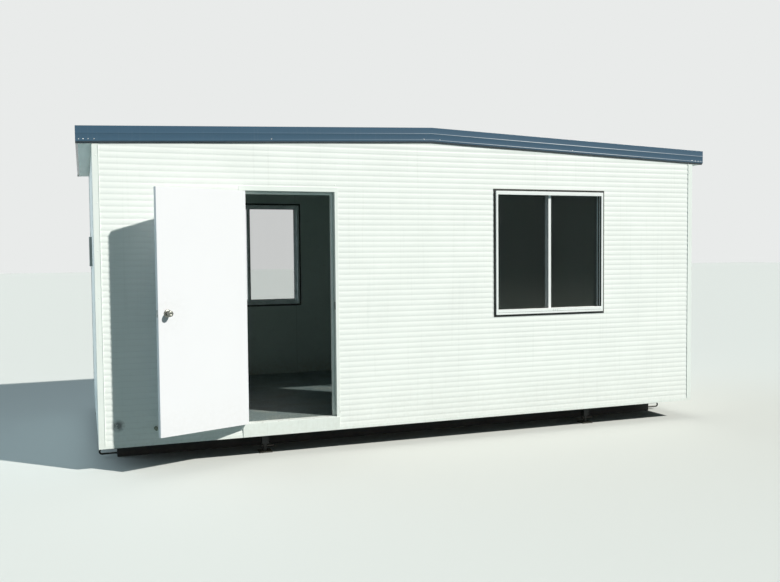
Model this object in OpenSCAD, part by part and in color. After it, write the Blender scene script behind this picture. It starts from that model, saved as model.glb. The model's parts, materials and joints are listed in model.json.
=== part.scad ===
// Portable site cabin: ribbed sandwich-panel walls on a steel skid chassis, a low double-pitched
// roof with blue fascias, one outward opening door and two sliding windows.
// Working frame of the modules: X along the front from its left end, Y into the cabin from the
// front face, Z up from the ground. The part's own origin is the middle of its footprint.

/* [Body] */
// Length of the cabin over its wall faces
body_l = 6000; // [4800:50:7200]
// Depth of the cabin over its wall faces
body_d = 3000; // [2400:50:3600]
// Height of the end walls, from their lower edge to the roof panel
wall_h = 2538; // [2500:1:2900]
// Thickness of the wall panels with their outer steel
wall_t = 75; // [60:5:90]
// Height of the walls' lower edge above the skids
wall_lift = 10; // [4:1:40]
// Rise of the roof from the end walls to the ridge
ridge_rise = 110; // [60:5:240]

/* [Cladding] */
// Distance from one rib to the next
rib_pitch = 49.8; // [40:0.1:60]
// Height of a rib above the groove beside it
rib_h = 2.2; // [1.5:0.1:3.8]
// Width of a groove at its floor
groove_w = 10; // [5:1:14]
// Width of the sloping side of a rib
flank_w = 7; // [2:0.5:8]
// How far below the walls' lower edge the first rib would start
rib_start = 26; // [0:1:39]
// Thickness of the ribbed sheet, crest to back
sheet_t = 5; // [4.5:0.5:6]
// Width of a corner flashing's leg
flashing_w = 52; // [40:1:80]
// Thickness of the flashings and of the base channel
trim_t = 1.5; // [1:0.5:3]
// Height of the base channel's lips above the walls' lower edge
base_lip_h = 24; // [15:1:40]

/* [Roof] */
// Thickness of the roof panel without its ribs
roof_t = 75; // [50:5:90]
// Height of the ribs on the roof sheet
roof_rib_h = 28; // [20:1:35]
// Distance from one roof rib to the next, before it is evened out
roof_rib_pitch = 250; // [190:5:330]
// Thickness of the roof panel's outer sheet, which alone runs past the end walls
roof_sheet_t = 2; // [1:0.5:4]
// Reach of the roof sheet beyond each end wall
roof_overhang = 105; // [60:1:200]
// Height of the fascia boards
fascia_h = 143; // [138:1:180]
// Depth of the fascia's folded section over its swages
fascia_t = 20; // [14:1:26]
// Height of the fascia's lower edge that is folded back to the wall
fascia_fold = 16; // [8:1:18]
// Height of the lower swage above the fascia's lower edge
swage_low = 27; // [26:1:40]
// Height of the upper swage above the fascia's lower edge
swage_high = 84; // [70:1:110]
// How far the fascia boards lap down over the walls
fascia_lap = 23; // [10:1:30]
// Width of each wing of the ridge cap
ridge_cap_w = 190; // [120:5:260]

/* [Doorway] */
// Place of the rebate's left edge, from the left end of the front
door_x = 1220; // [1000:5:1500]
// Width of the door leaf
door_w = 820; // [720:5:920]
// Height of the door leaf
door_h = 2025; // [1980:5:2060]
// Thickness of the door leaf
door_t = 38; // [34:1:44]
// Gap round the closed leaf
door_gap = 5; // [5:0.5:8]
// Width of the stop that the closed leaf meets
stop_w = 25; // [15:1:35]
// Thickness of the frame between the rebate and the wall
frame_body_w = 26; // [20:1:40]
// Width of the frame's face band on the jambs
jamb_band = 32; // [28:1:60]
// Width of the frame's face band on the head
head_band = 40; // [30:1:60]
// How far the frame's face stands out from the cladding
band_t = 2; // [1:0.5:4]
// Thickness of the threshold plate
threshold_t = 7; // [4:1:12]
// How far the threshold's nosing stands out from the cladding
nosing = 10; // [4:1:20]

/* [Door] */
// How far the door stands open at rest, in degrees
door_open = 159.5; // [90:0.5:165]
// Radius of a hinge knuckle
knuckle_r = 7; // [6:0.5:9]
// Radius of a hinge pin
hinge_pin_r = 4; // [3:0.5:5]
// Running clearance of a pin in its knuckle
pin_clear = 0.05; // [0.02:0.01:0.1]
// Height of one hinge
hinge_h = 100; // [80:5:130]
// Distance of the top and bottom hinges from the leaf's ends
hinge_inset = 180; // [150:5:300]
// Thickness of a hinge plate
hinge_plate_t = 2; // [1.5:0.25:2.25]
// Distance of the knob from the leaf's free edge
knob_backset = 80; // [60:1:110]
// Height of the knob above the leaf's lower end
knob_h = 1005; // [900:5:1100]
// Radius of the knob
knob_r = 26; // [20:1:30]
// Reach of the knob from the leaf's face
knob_reach = 62; // [50:1:75]
// Radius of the rose under the knob
rose_r = 33; // [28:1:45]
// Thickness of the rose
rose_t = 7; // [4:1:12]

/* [Windows] */
// Place of the front window's left edge, from the left end of the front
front_window_x = 3668; // [2900:1:4400]
// Place of the rear window's left edge as seen from the front
rear_window_x = 1220; // [400:1:3800]
// Width of a window over its face frame
window_w = 1214; // [900:1:1500]
// Height of a window over its face frame
window_h = 1202; // [900:1:1300]
// Height of the windows' lower edge above the walls' lower edge
window_z = 992; // [800:1:1150]
// Width of the face frame at the jambs
window_jamb = 21; // [20:1:45]
// Width of the face frame at the head
window_head = 35; // [25:1:60]
// Width of the face frame at the sill
window_sill = 50; // [40:1:80]
// How far the face frame stands out from the cladding
window_proud = 18; // [10:1:30]
// How far the dark seals show round the frame, outside and inside
seal_show = 20; // [6:1:30]
// Thickness of the seal
seal_t = 3; // [2:0.5:5]
// Width of the meeting stile in the outer track
meeting_w = 31; // [25:1:45]
// How far the frame's inner flange runs past its outer face
flange_lap = 9; // [4:1:20]
// Width of the sliding sash's stiles
sash_w = 28; // [20:1:50]
// Depth of the sliding sash
sash_t = 20; // [14:1:24]
// Thickness of the glass
glass_t = 4; // [3:1:6]

/* [Chassis] */
// Depth of the skid channels
skid_h = 180; // [170:1:220]
// Width of the skid channels' flanges
skid_w = 75; // [60:1:90]
// Distance of a skid's web from the wall face
skid_in = 500; // [350:10:800]
// Distance of a skid's end from the end wall face
skid_end = 158; // [100:1:300]
// Depth of the floor joists and edge beams
joist_h = 110; // [80:5:120]
// Width of the floor joists' flanges
joist_w = 50; // [40:1:65]
// Thickness of the joists' steel
joist_t = 3; // [2:0.5:5]
// Number of floor joists
joist_count = 11; // [7:1:15]
// Thickness of the skids' web and flanges
skid_t = 8; // [6:1:11]
// Place of the left legs, from the left end
leg_left_x = 1425; // [900:5:1800]
// Place of the right legs, from the left end
leg_right_x = 4815; // [4300:5:5400]
// Distance of a leg's middle from the wall face
leg_in = 205; // [190:5:300]
// Side of a leg's foot plate
foot_w = 115; // [90:5:160]
// Thickness of a leg's foot plate
foot_t = 10; // [6:1:16]
// Height of a leg's locking pin above the ground
leg_pin_z = 53; // [40:1:60]
// Radius of a leg's locking pin
leg_pin_r = 7; // [5:0.5:9]
// Bar diameter of a pull loop
loop_bar = 16; // [12:1:25]
// Height of a pull loop's eye
loop_eye = 28; // [24:1:50]
// Height of a pull loop's middle above the ground
loop_z = 53; // [50:1:90]
// Reach of a pull loop from the skid's end
loop_reach = 156; // [90:1:220]

/* [Floor] */
// Thickness of the floor deck
deck_t = 20; // [12:1:25]
// Thickness of the vinyl sheet
vinyl_t = 2; // [2:0.5:4]

/* [Vent and stop] */
// Side of the louvred vent
vent_w = 300; // [200:10:400]
// Place of the vent's front side, from the front face
vent_y = 1750; // [900:10:2000]
// Height of the vent's lower edge above the walls' lower edge
vent_z = 1495; // [1200:5:2000]
// How far the vent stands out from the wall
vent_proud = 24; // [14:1:40]
// Number of vent blades
vent_blades = 8; // [5:1:12]
// Place of the door stop, from the left end of the front
stop_x = 457; // [430:1:560]
// Reach of the door stop from the cladding
stop_reach = 70; // [50:1:72]
// Height of the door stop's middle above the walls' lower edge
stop_z = 143; // [100:1:400]
// Radius of the door stop
stop_r = 11; // [8:1:16]

/* [Hidden] */
$fn = 48;

WHITE = "#eef0ee";
GREY_WHITE = "#d9dcd8";
BLUE = "#4a6079";
BLACK = "#23262a";
GALV = "#9aa0a2";
RUBBER = "#202225";

// Clearance between sloping faces that rest on each other
seat_gap = 0.3;

// Length by which a cut runs past the face that it opens
cut = 1;

// Gap between an edge of trim and the piece that it stops short of
trim_gap = 1;

// Heights
wall_z = skid_h + wall_lift;
eave_z = wall_z + wall_h;
joist_z = skid_h;
deck_z = joist_z + joist_h;
floor_z = deck_z + deck_t + vinyl_t;
mid_x = body_l / 2;
slope = ridge_rise / mid_x;
slope_deg = atan(slope);
function roof_z(x) = eave_z + slope * min(x, body_l - x);

// Doorway: the rebate that holds the leaf, and the hole in the wall round the frame
rebate_w = door_w + 2 * door_gap;
rebate_x1 = door_x + rebate_w;
sill_z = deck_z + deck_t;
door_z = sill_z + door_gap;
head_z = door_z + door_h + door_gap;
hole_x0 = door_x - frame_body_w;
hole_x1 = rebate_x1 + frame_body_w;
hole_z1 = head_z + frame_body_w;
leaf_x = door_x + door_gap;
stop_y = door_t - band_t + door_gap;

// Hinge pin: in the middle of the gap, its knuckle 1 mm clear of the frame's face
knuckle_clear = 1;
pin_x = door_x + door_gap / 2;
pin_y = -(band_t + knuckle_clear + knuckle_r);
knob_x = leaf_x + door_w - knob_backset;
knob_z = door_z + knob_h;

// A knob's outline from its tip down, as shares of its radius and reach
knob_shape = [[0.72, 1], [0.92, 0.9], [1, 0.62], [0.8, 0.45]];
knob_tip_r = knob_shape[0][0] * knob_r;

// Footprint of the whole cabin with its open door, for the origin
knob_front = pin_y - (knob_x - pin_x + knob_tip_r) * sin(door_open)
    + (door_t - band_t - pin_y + knob_reach) * cos(door_open);
footprint_y = (knob_front + body_d + max(fascia_t, window_proud)) / 2;

// Frame of the part: middle of the footprint on the ground
module in_frame() {
    translate([-mid_x, -footprint_y, 0]) children();
}

// Turns the closed door about its hinge pin to its rest pose
module swung() {
    translate([pin_x, pin_y, 0]) rotate(-door_open) translate([-pin_x, -pin_y, 0]) children();
}

// Block between two corners
module block(low, high) {
    translate(low) cube(high - low);
}

// Outline drawn in X and Z, extruded from y0 to y1
module along_y(y0, y1) {
    translate([0, y1, 0]) rotate([90, 0, 0]) linear_extrude(y1 - y0) children();
}

// Outline drawn in Y and Z, extruded from x0 to x1
module along_x(x0, x1) {
    translate([x0, 0, 0]) rotate([90, 0, 90]) linear_extrude(x1 - x0) children();
}

// Outline of a wall seen from the front, under the roof panels
function under_roof(x0, x1, z0) = concat(
    [[x0, z0], [x1, z0], [x1, roof_z(x1)]],
    (x0 < mid_x && mid_x < x1) ? [[mid_x, roof_z(mid_x)]] : [],
    [[x0, roof_z(x0)]]
);

// Solid part of a wall, with its top cut to the roof slope
module wall_core(x0, x1, y0, y1, z0) {
    along_y(y0, y1) polygon(under_roof(x0, x1, z0));
}

// Mirrors a front piece to the rear
module to_rear() {
    translate([0, body_d, 0]) mirror([0, 1, 0]) children();
}

// Mirrors a left piece to the right
module to_right() {
    translate([body_l, 0, 0]) mirror([1, 0, 0]) children();
}

// Steel channel seen end on, open towards +X of its outline
module channel_outline(depth, flange, web_t, flange_t) {
    difference() {
        square([flange, depth]);
        translate([web_t, flange_t]) square([flange, depth - 2 * flange_t]);
    }
}

// Chassis
module skids() color(BLACK) in_frame() {
    front_skid();
    to_rear() front_skid();
}

module front_skid() {
    along_x(skid_end, body_l - skid_end)
        translate([skid_in, 0]) channel_outline(skid_h, skid_w, skid_t, skid_t);
    skid_end_plate();
    to_right() skid_end_plate();
}

module skid_end_plate() {
    block([skid_end, skid_in, 0], [skid_end + skid_t, skid_in + skid_w, skid_h]);
}

// Round-bar eye on the end of a skid, lying in the plane of the skid's web
loop_y = skid_in + skid_w / 2;

module pull_loops() color(BLACK) in_frame() {
    left_loops();
    to_right() left_loops();
}

module left_loops() {
    pull_loop();
    to_rear() pull_loop();
}

module pull_loop() {
    bend_r = (loop_eye + loop_bar) / 2;
    straight = loop_reach - bend_r - loop_bar / 2;
    translate([skid_end, loop_y, loop_z]) rotate([90, 0, 180]) {
        translate([straight, 0, 0]) rotate(-90)
            rotate_extrude(angle = 180) translate([bend_r, 0]) circle(d = loop_bar);
        for (side = [-1, 1])
            translate([0, side * bend_r, 0]) rotate([0, 90, 0]) cylinder(d = loop_bar, h = straight);
    }
}

frame_in = wall_t + trim_t;

module edge_beams() color(BLACK) in_frame() {
    front_edge_beam();
    to_rear() front_edge_beam();
}

module front_edge_beam() {
    along_x(frame_in, body_l - frame_in)
        translate([frame_in, joist_z]) channel_outline(joist_h, joist_w, joist_t, joist_t);
}

module floor_joists() color(BLACK) in_frame() {
    span = body_l - 2 * frame_in - joist_w;
    for (i = [0 : joist_count - 1])
        translate([frame_in + i * span / (joist_count - 1), 0, 0]) floor_joist();
}

// A joist between the edge beams, its web coped to run into them
module floor_joist() {
    flange_tip = frame_in + joist_w;
    web_end = frame_in + joist_t;
    along_y(flange_tip, body_d - flange_tip)
        translate([0, joist_z]) channel_outline(joist_h, joist_w, joist_t, joist_t);
    block([0, web_end, joist_z + joist_t], [joist_t, body_d - web_end, joist_z + joist_h - joist_t]);
}

// Screw legs under the edge beams
leg_tube = 60;
leg_stem_r = 16;
leg_tube_z = 75;
leg_plate_t = 10;

module levelling_legs() color(BLACK) in_frame() {
    front_legs();
    to_rear() front_legs();
}

module front_legs() {
    for (x = [leg_left_x, leg_right_x]) translate([x, leg_in, 0]) levelling_leg();
}

module levelling_leg() {
    block([-foot_w / 2, -foot_w / 2, 0], [foot_w / 2, foot_w / 2, foot_t]);
    difference() {
        translate([0, 0, foot_t]) cylinder(r = leg_stem_r, h = leg_tube_z - foot_t);
        translate([-2 * leg_stem_r, 0, leg_pin_z]) rotate([0, 90, 0])
            cylinder(r = leg_pin_r + pin_clear, h = 4 * leg_stem_r);
    }
    block([-leg_tube / 2, -leg_tube / 2, leg_tube_z],
        [leg_tube / 2, leg_tube / 2, joist_z - leg_plate_t]);
    block([-leg_tube, frame_in - leg_in, joist_z - leg_plate_t],
        [leg_tube, leg_tube, joist_z]);
}

// Locking pins: a plain bar through each leg's stem with a head at its left end
leg_pin_left = 34;
leg_pin_right = 85;
leg_pin_head_r = 1.6 * leg_pin_r;

module leg_pins() color(GALV) in_frame() {
    front_leg_pins();
    to_rear() front_leg_pins();
}

module front_leg_pins() {
    for (x = [leg_left_x, leg_right_x]) translate([x, leg_in, leg_pin_z]) rotate([0, 90, 0]) {
        translate([0, 0, -leg_pin_left]) cylinder(r = leg_pin_r, h = leg_pin_left + leg_pin_right);
        translate([0, 0, -leg_pin_left]) cylinder(r = leg_pin_head_r, h = leg_pin_r);
    }
}

// Floor
module floor_deck() color("#8c7a5e") in_frame()
    block([frame_in, frame_in, deck_z], [body_l - frame_in, body_d - frame_in, deck_z + deck_t]);

module floor_vinyl() color("#7d8583") in_frame() {
    edge = wall_t + band_t + trim_gap;
    block([edge, edge, deck_z + deck_t], [body_l - edge, body_d - edge, floor_z]);
}

// Base channels: the trough that the wall panels stand in, its inner lip apart
module base_outline() {
    translate([-trim_t, wall_z - trim_t]) {
        square([wall_t + 2 * trim_t, trim_t]);
        square([trim_t, base_lip_h + trim_t]);
    }
}

module base_inner_lip() {
    translate([wall_t, wall_z - trim_t]) square([trim_t, base_lip_h + trim_t]);
}

module base_channels() color(WHITE) in_frame() {
    front_base_channel();
    to_rear() front_base_channel();
    left_base_channel();
    to_right() left_base_channel();
}

module front_base_channel() {
    along_x(-trim_t, body_l + trim_t) base_outline();
    along_x(wall_t, body_l - wall_t) base_inner_lip();
}

module left_base_channel() {
    butt = frame_in + seat_gap;
    along_y(butt, body_d - butt) {
        base_outline();
        base_inner_lip();
    }
    block([-trim_t, seat_gap, wall_z + seat_gap], [0, body_d - seat_gap, wall_z + base_lip_h]);
}

// Walls
module front_wall_left() color(GREY_WHITE) in_frame()
    wall_core(sheet_t, hole_x0, sheet_t, wall_t, wall_z);

module front_wall_under_door() color(GREY_WHITE) in_frame()
    block([hole_x0, sheet_t, wall_z], [hole_x1, wall_t, sill_z - threshold_t]);

module front_wall_over_door() color(GREY_WHITE) in_frame()
    wall_core(hole_x0, hole_x1, sheet_t, wall_t, hole_z1);

module front_wall_right() color(GREY_WHITE) in_frame() difference() {
    wall_core(hole_x1, body_l - sheet_t, sheet_t, wall_t, wall_z);
    window_hole(front_window_x);
}

module rear_wall() color(GREY_WHITE) in_frame() difference() {
    wall_core(sheet_t, body_l - sheet_t, body_d - wall_t, body_d - sheet_t, wall_z);
    to_rear() window_hole(rear_window_x);
}

module left_wall() color(GREY_WHITE) in_frame()
    wall_core(sheet_t, wall_t, wall_t, body_d - wall_t, wall_z);

module right_wall() color(GREY_WHITE) in_frame()
    wall_core(body_l - wall_t, body_l - sheet_t, wall_t, body_d - wall_t, wall_z);

// Cladding: a ribbed steel sheet, its crests in the wall's outer face
rib_foot = wall_z - rib_start;
rib_count = ceil((wall_h + ridge_rise + rib_start) / rib_pitch);
rib_top = rib_foot + rib_count * rib_pitch;

function rib_points(z) = [
    [0, z],
    [0, z + rib_pitch - groove_w - 2 * flank_w],
    [rib_h, z + rib_pitch - groove_w - flank_w],
    [rib_h, z + rib_pitch - flank_w]
];

module ribbed_sheet(length) {
    along_x(0, length) polygon(concat(
        [for (i = [0 : rib_count - 1]) each rib_points(rib_foot + i * rib_pitch)],
        [[0, rib_top], [sheet_t, rib_top], [sheet_t, rib_foot]]
    ));
}

module under_roof_only() {
    intersection() {
        along_y(0, body_d) polygon(under_roof(0, body_l, wall_z));
        children();
    }
}

module front_cladding() color(WHITE) in_frame() difference() {
    under_roof_only() ribbed_sheet(body_l);
    doorway_hole();
    window_hole(front_window_x);
}

module rear_cladding() color(WHITE) in_frame() difference() {
    under_roof_only() to_rear() ribbed_sheet(body_l);
    to_rear() window_hole(rear_window_x);
}

module left_cladding() color(WHITE) in_frame()
    under_roof_only()
        translate([0, body_d - sheet_t, 0]) rotate(-90) ribbed_sheet(body_d - 2 * sheet_t);

module right_cladding() color(WHITE) in_frame()
    under_roof_only()
        translate([body_l, sheet_t, 0]) rotate(90) ribbed_sheet(body_d - 2 * sheet_t);

module doorway_hole() {
    block([hole_x0, -cut, sill_z - threshold_t], [hole_x1, wall_t + cut, hole_z1]);
}

// Corner flashings: folded angles over the ends of the ribbed sheets
module corner_flashings() color(WHITE) in_frame() {
    left_flashings();
    to_right() left_flashings();
}

module left_flashings() {
    corner_flashing();
    to_rear() corner_flashing();
    eave_strip();
}

module corner_flashing() {
    foot = wall_z + base_lip_h;
    top = eave_z - fascia_lap - trim_gap;
    translate([0, 0, foot]) linear_extrude(top - foot) difference() {
        translate([-trim_t, -trim_t]) square(flashing_w + trim_t);
        square(flashing_w + trim_t);
    }
}

// Closing strip along the eave, from the end wall up to the overhanging roof sheet
module eave_strip() {
    sheet_under = roof_z(-trim_t) + (roof_t - roof_sheet_t) / cos(slope_deg) - seat_gap;
    block([-trim_t, 0, eave_z - fascia_lap - trim_gap], [0, body_d, sheet_under]);
}

// Roof
roof_ribs = floor(body_d / roof_rib_pitch);
roof_rib_step = body_d / roof_ribs;
roof_rib_base = 70;
roof_rib_top = 36;

function roof_rib_points(y) = [
    [y + roof_rib_base / 2, roof_t],
    [y + roof_rib_top / 2, roof_t + roof_rib_h],
    [y - roof_rib_top / 2, roof_t + roof_rib_h],
    [y - roof_rib_base / 2, roof_t]
];

// Section across the roof panel, with the ribs that run down the slope
module roof_section() {
    y0 = seat_gap;
    y1 = body_d - seat_gap;
    polygon(concat(
        [[y0, seat_gap], [y1, seat_gap], [y1, roof_t]],
        [for (i = [roof_ribs - 1 : -1 : 0]) each roof_rib_points((i + 0.5) * roof_rib_step)],
        [[y0, roof_t]]
    ));
}

// Section across the outer sheet alone
module roof_sheet_section() {
    difference() {
        roof_section();
        translate([0, -roof_sheet_t]) roof_section();
    }
}

// Runs a section down the left slope, cut upright at both ends
module down_left_slope(x0, x1) {
    run = 2 * body_l;
    intersection() {
        translate([0, 0, eave_z]) rotate([0, -slope_deg, 0]) along_x(-run, run) children();
        block([x0, -body_d, 0], [x1, 2 * body_d, 2 * eave_z]);
    }
}

module roof_panel_left() color(WHITE) in_frame() roof_slope();

module roof_panel_right() color(WHITE) in_frame() to_right() roof_slope();

// Foam-cored panel over the cabin; past the end wall only its outer sheet runs on to the fascia
module roof_slope() {
    down_left_slope(0, mid_x) roof_section();
    down_left_slope(-(roof_overhang + fascia_face - trim_t - seat_gap), roof_t) roof_sheet_section();
}

module ridge_cap() color(BLUE) in_frame() {
    cap_z = (roof_t + roof_rib_h) / cos(slope_deg);
    lift = roof_z(mid_x) + cap_z + seat_gap;
    drop = slope * ridge_cap_w;
    along_y(0, body_d) polygon([
        [mid_x - ridge_cap_w, lift - drop],
        [mid_x, lift],
        [mid_x + ridge_cap_w, lift - drop],
        [mid_x + ridge_cap_w, lift - drop + trim_t],
        [mid_x, lift + trim_t],
        [mid_x - ridge_cap_w, lift - drop + trim_t]
    ]);
}

// Fascia board: roll-formed sheet with two swages along its face, its lower edge folded back
// to the wall and its upper edge folded over
swage_h = 1.8;
swage_w = 14;
swage_steps = 8;
fascia_face = fascia_t - swage_h;

// A swage rises and falls as one smooth wave
function swage_points(z) = [
    for (i = [0 : swage_steps])
        [-fascia_face - swage_h * (1 - cos(360 * i / swage_steps)) / 2,
         z + swage_w * (i / swage_steps - 0.5)]
];

// Outer face from the lower edge up, as distances out from the wall and heights
fascia_points = concat(
    [[0, 0], [-fascia_face, fascia_fold]],
    swage_points(swage_low), swage_points(swage_high),
    [[-fascia_face, fascia_h]]
);

module fascia_outline() {
    translate([0, -fascia_lap]) polygon(concat(fascia_points, [[0, fascia_h]]));
}

module fascia_section() {
    last = len(fascia_points) - 1;
    translate([0, -fascia_lap]) polygon(concat(
        fascia_points,
        [[0, fascia_h], [0, fascia_h - trim_t], [trim_t - fascia_face, fascia_h - trim_t]],
        [for (i = [last - 1 : -1 : 1]) fascia_points[i] + [trim_t, 0]],
        [[0, trim_t]]
    ));
}

module front_barge() color(BLUE) in_frame() barge();

module rear_barge() color(BLUE) in_frame() to_rear() barge();

module barge() {
    left_barge();
    to_right() left_barge();
}

// Left half of a barge board, with a plate that closes its end
module left_barge() {
    end_x = -(roof_overhang + fascia_t);
    down_left_slope(end_x, mid_x) fascia_section();
    down_left_slope(end_x, end_x + trim_t) fascia_outline();
}

module end_fascias() color(BLUE) in_frame() {
    left_fascia();
    to_right() left_fascia();
}

module left_fascia() {
    translate([-roof_overhang, 0, eave_z - slope * roof_overhang])
        along_y(0, body_d) fascia_section();
}

// Door frame. Its section is drawn with X from the rebate's edge into the wall
module jamb_section() {
    lap = jamb_band - frame_body_w;
    polygon([
        [0, -band_t], [jamb_band, -band_t], [jamb_band, 0], [frame_body_w, 0],
        [frame_body_w, wall_t], [frame_body_w + lap, wall_t],
        [frame_body_w + lap, wall_t + band_t], [-stop_w, wall_t + band_t],
        [-stop_w, stop_y], [0, stop_y]
    ]);
}

module jamb() {
    translate([0, 0, sill_z]) linear_extrude(head_z - sill_z) jamb_section();
}

module door_jamb_strike() color(WHITE) in_frame() translate([rebate_x1, 0, 0]) jamb();

module door_jamb_hinge() color(WHITE) in_frame() translate([door_x, 0, 0]) mirror([1, 0, 0]) jamb();

module door_head() color(WHITE) in_frame() {
    lap = jamb_band - frame_body_w;
    along_x(hole_x0 - lap, hole_x1 + lap) translate([0, head_z]) polygon([
        [-band_t, 0], [0, 0], [0, head_band], [-band_t, head_band]
    ]);
    block([hole_x0, 0, head_z], [hole_x1, wall_t, hole_z1]);
    block([hole_x0 - lap, wall_t, head_z], [hole_x1 + lap, wall_t + band_t, hole_z1 + lap]);
    block([door_x + stop_w, stop_y, head_z - stop_w], [rebate_x1 - stop_w, wall_t + band_t, head_z]);
}

module door_threshold() color(WHITE) in_frame()
    block([hole_x0, -nosing, sill_z - threshold_t], [hole_x1, frame_in, sill_z]);

// Hinges: a lower knuckle with the pin on the frame, an upper knuckle on the door
hinge_zs = [
    door_z + hinge_inset,
    door_z + (door_h - hinge_h) / 2,
    door_z + door_h - hinge_inset - hinge_h
];
knuckle_play = 0.5;
knuckle_cap = 2;
pin_end_gap = 1;
hinge_plate_d = door_t - band_t - hinge_plate_t;

module hinge_leaves_frame() color(GALV) in_frame()
    for (z = hinge_zs) translate([pin_x, pin_y, z]) {
        cylinder(r = knuckle_r, h = hinge_h / 2 - knuckle_play);
        cylinder(r = hinge_pin_r, h = hinge_h - knuckle_cap - pin_end_gap);
        block([-door_gap / 2, 0, 0],
            [-door_gap / 2 + hinge_plate_t, hinge_plate_d - pin_y, hinge_h / 2 - knuckle_play]);
        block([-door_gap / 2, knuckle_clear + knuckle_r + band_t, 0],
            [-door_gap / 2 + hinge_plate_t, hinge_plate_d - pin_y, hinge_h]);
    }

module hinge_leaves_door() color(GALV) in_frame() swung()
    for (z = hinge_zs) translate([pin_x, pin_y, z]) difference() {
        union() {
            translate([0, 0, hinge_h / 2]) cylinder(r = knuckle_r, h = hinge_h / 2);
            block([door_gap / 2 - hinge_plate_t, 0, hinge_h / 2],
                [door_gap / 2, hinge_plate_d - pin_y, hinge_h]);
            block([door_gap / 2 - hinge_plate_t, knuckle_clear + knuckle_r, 0],
                [door_gap / 2, hinge_plate_d - pin_y, hinge_h]);
        }
        translate([0, 0, hinge_h / 2 - cut])
            cylinder(r = hinge_pin_r + pin_clear, h = hinge_h / 2 - knuckle_cap + cut);
    }

// Door leaf
spindle_r = 8;
spindle_clear = 0.3;
neck_r = 12;
knob_lift = 8;

module door_leaf() color(WHITE) in_frame() swung() difference() {
    block([leaf_x, -band_t, door_z], [leaf_x + door_w, door_t - band_t, door_z + door_h]);
    translate([knob_x, -band_t - cut, knob_z]) rotate([-90, 0, 0])
        cylinder(r = spindle_r + spindle_clear, h = door_t + 2 * cut);
}

module knob_roses() color(GALV) in_frame() swung() {
    rose(-band_t - rose_t);
    rose(door_t - band_t);
}

module rose(y) {
    translate([knob_x, y, knob_z]) rotate([-90, 0, 0]) difference() {
        cylinder(r = rose_r, h = rose_t);
        translate([0, 0, -cut]) cylinder(r = neck_r + spindle_clear, h = rose_t + 2 * cut);
    }
}

// Both knobs on their spindle, turned from one outline
module door_knob() color(GALV) in_frame() swung()
    translate([knob_x, door_t / 2 - band_t, knob_z]) rotate([-90, 0, 0])
        rotate_extrude() polygon(concat(
            knob_points,
            [for (i = [len(knob_points) - 1 : -1 : 0]) [knob_points[i][0], -knob_points[i][1]]]
        ));

// Radius and distance from the leaf's middle, from a knob's tip down to the spindle
knob_face = door_t / 2;
knob_tip = knob_face + knob_reach;
knob_points = concat(
    [[0, knob_tip]],
    [for (share = knob_shape) [share[0] * knob_r, knob_face + share[1] * knob_reach]],
    [[neck_r, knob_face + rose_t + knob_lift], [neck_r, knob_face + spindle_clear],
     [spindle_r, knob_face + spindle_clear]]
);

// Windows. The modules draw the front window; the rear one is its mirror image
wall_hole_in = 10;
channel_in = 15;
fixed_y = 14;
sash_y = 30;
flange_t = 8;
track_low = wall_z + window_z + channel_in;
track_high = wall_z + window_z + window_h - channel_in;
light_low = wall_z + window_z + window_sill;
light_high = wall_z + window_z + window_h - window_head;

module window_hole(x) {
    block([x + wall_hole_in, -cut, wall_z + window_z + wall_hole_in],
        [x + window_w - wall_hole_in, wall_t + cut,
         wall_z + window_z + window_h - wall_hole_in]);
}

// Ring in the wall's plane: outer edge grown by out, inner opening given by its margins
module window_ring(x, y0, y1, out, jamb_m, head_m, sill_m) {
    z = wall_z + window_z;
    difference() {
        block([x - out, y0, z - out], [x + window_w + out, y1, z + window_h + out]);
        block([x + jamb_m, y0 - cut, z + sill_m],
            [x + window_w - jamb_m, y1 + cut, z + window_h - head_m]);
    }
}

module window_seals() color(BLACK) in_frame() {
    window_seal(front_window_x);
    to_rear() window_seal(rear_window_x);
}

module window_seal(x) {
    window_ring(x, -seal_t, 0, seal_show, wall_hole_in, wall_hole_in, wall_hole_in);
    window_ring(x, wall_t, wall_t + seal_t, flange_lap + seal_show,
        wall_hole_in, wall_hole_in, wall_hole_in);
}

module window_frame(x) {
    face_back = fixed_y - glass_t;
    flange_y = wall_t + seal_t;
    window_ring(x, -window_proud, -seal_t, 0, window_jamb, window_head, window_sill);
    window_ring(x, -seal_t, face_back, -wall_hole_in, window_jamb, window_head, window_sill);
    window_ring(x, face_back, flange_y, -wall_hole_in, channel_in, channel_in, channel_in);
    window_ring(x, flange_y, flange_y + flange_t, flange_lap, channel_in, channel_in, channel_in);
}

// The sash's rails run in the frame's tracks and end level with its face
module window_sash(x) {
    mid = x + window_w / 2;
    track_end = x + window_w - channel_in;
    block([mid - meeting_w / 2, fixed_y - glass_t, track_low],
        [mid + meeting_w / 2, sash_y, track_high]);
    difference() {
        block([mid - sash_w, sash_y, track_low], [track_end, sash_y + sash_t, track_high]);
        block([mid, sash_y - cut, light_low], [track_end - sash_w, sash_y + sash_t + cut, light_high]);
    }
}

module window_glass(x) {
    mid = x + window_w / 2;
    pane_y = sash_y + (sash_t - glass_t) / 2;
    block([x + channel_in, fixed_y - glass_t, track_low], [mid - meeting_w / 2, fixed_y, track_high]);
    block([mid, pane_y, light_low],
        [x + window_w - channel_in - sash_w, pane_y + glass_t, light_high]);
}

module front_window_frame() color(WHITE) in_frame() window_frame(front_window_x);
module front_window_sash() color(WHITE) in_frame() window_sash(front_window_x);
module front_window_glass() color("#56666a", 0.4) in_frame() window_glass(front_window_x);
module rear_window_frame() color(WHITE) in_frame() to_rear() window_frame(rear_window_x);
module rear_window_sash() color(WHITE) in_frame() to_rear() window_sash(rear_window_x);
module rear_window_glass() color("#56666a", 0.4) in_frame() to_rear() window_glass(rear_window_x);

// Louvred vent on the left wall
vent_rim = 18;
vent_back = 3;
blade_t = 3;
blade_in = 4;

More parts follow.
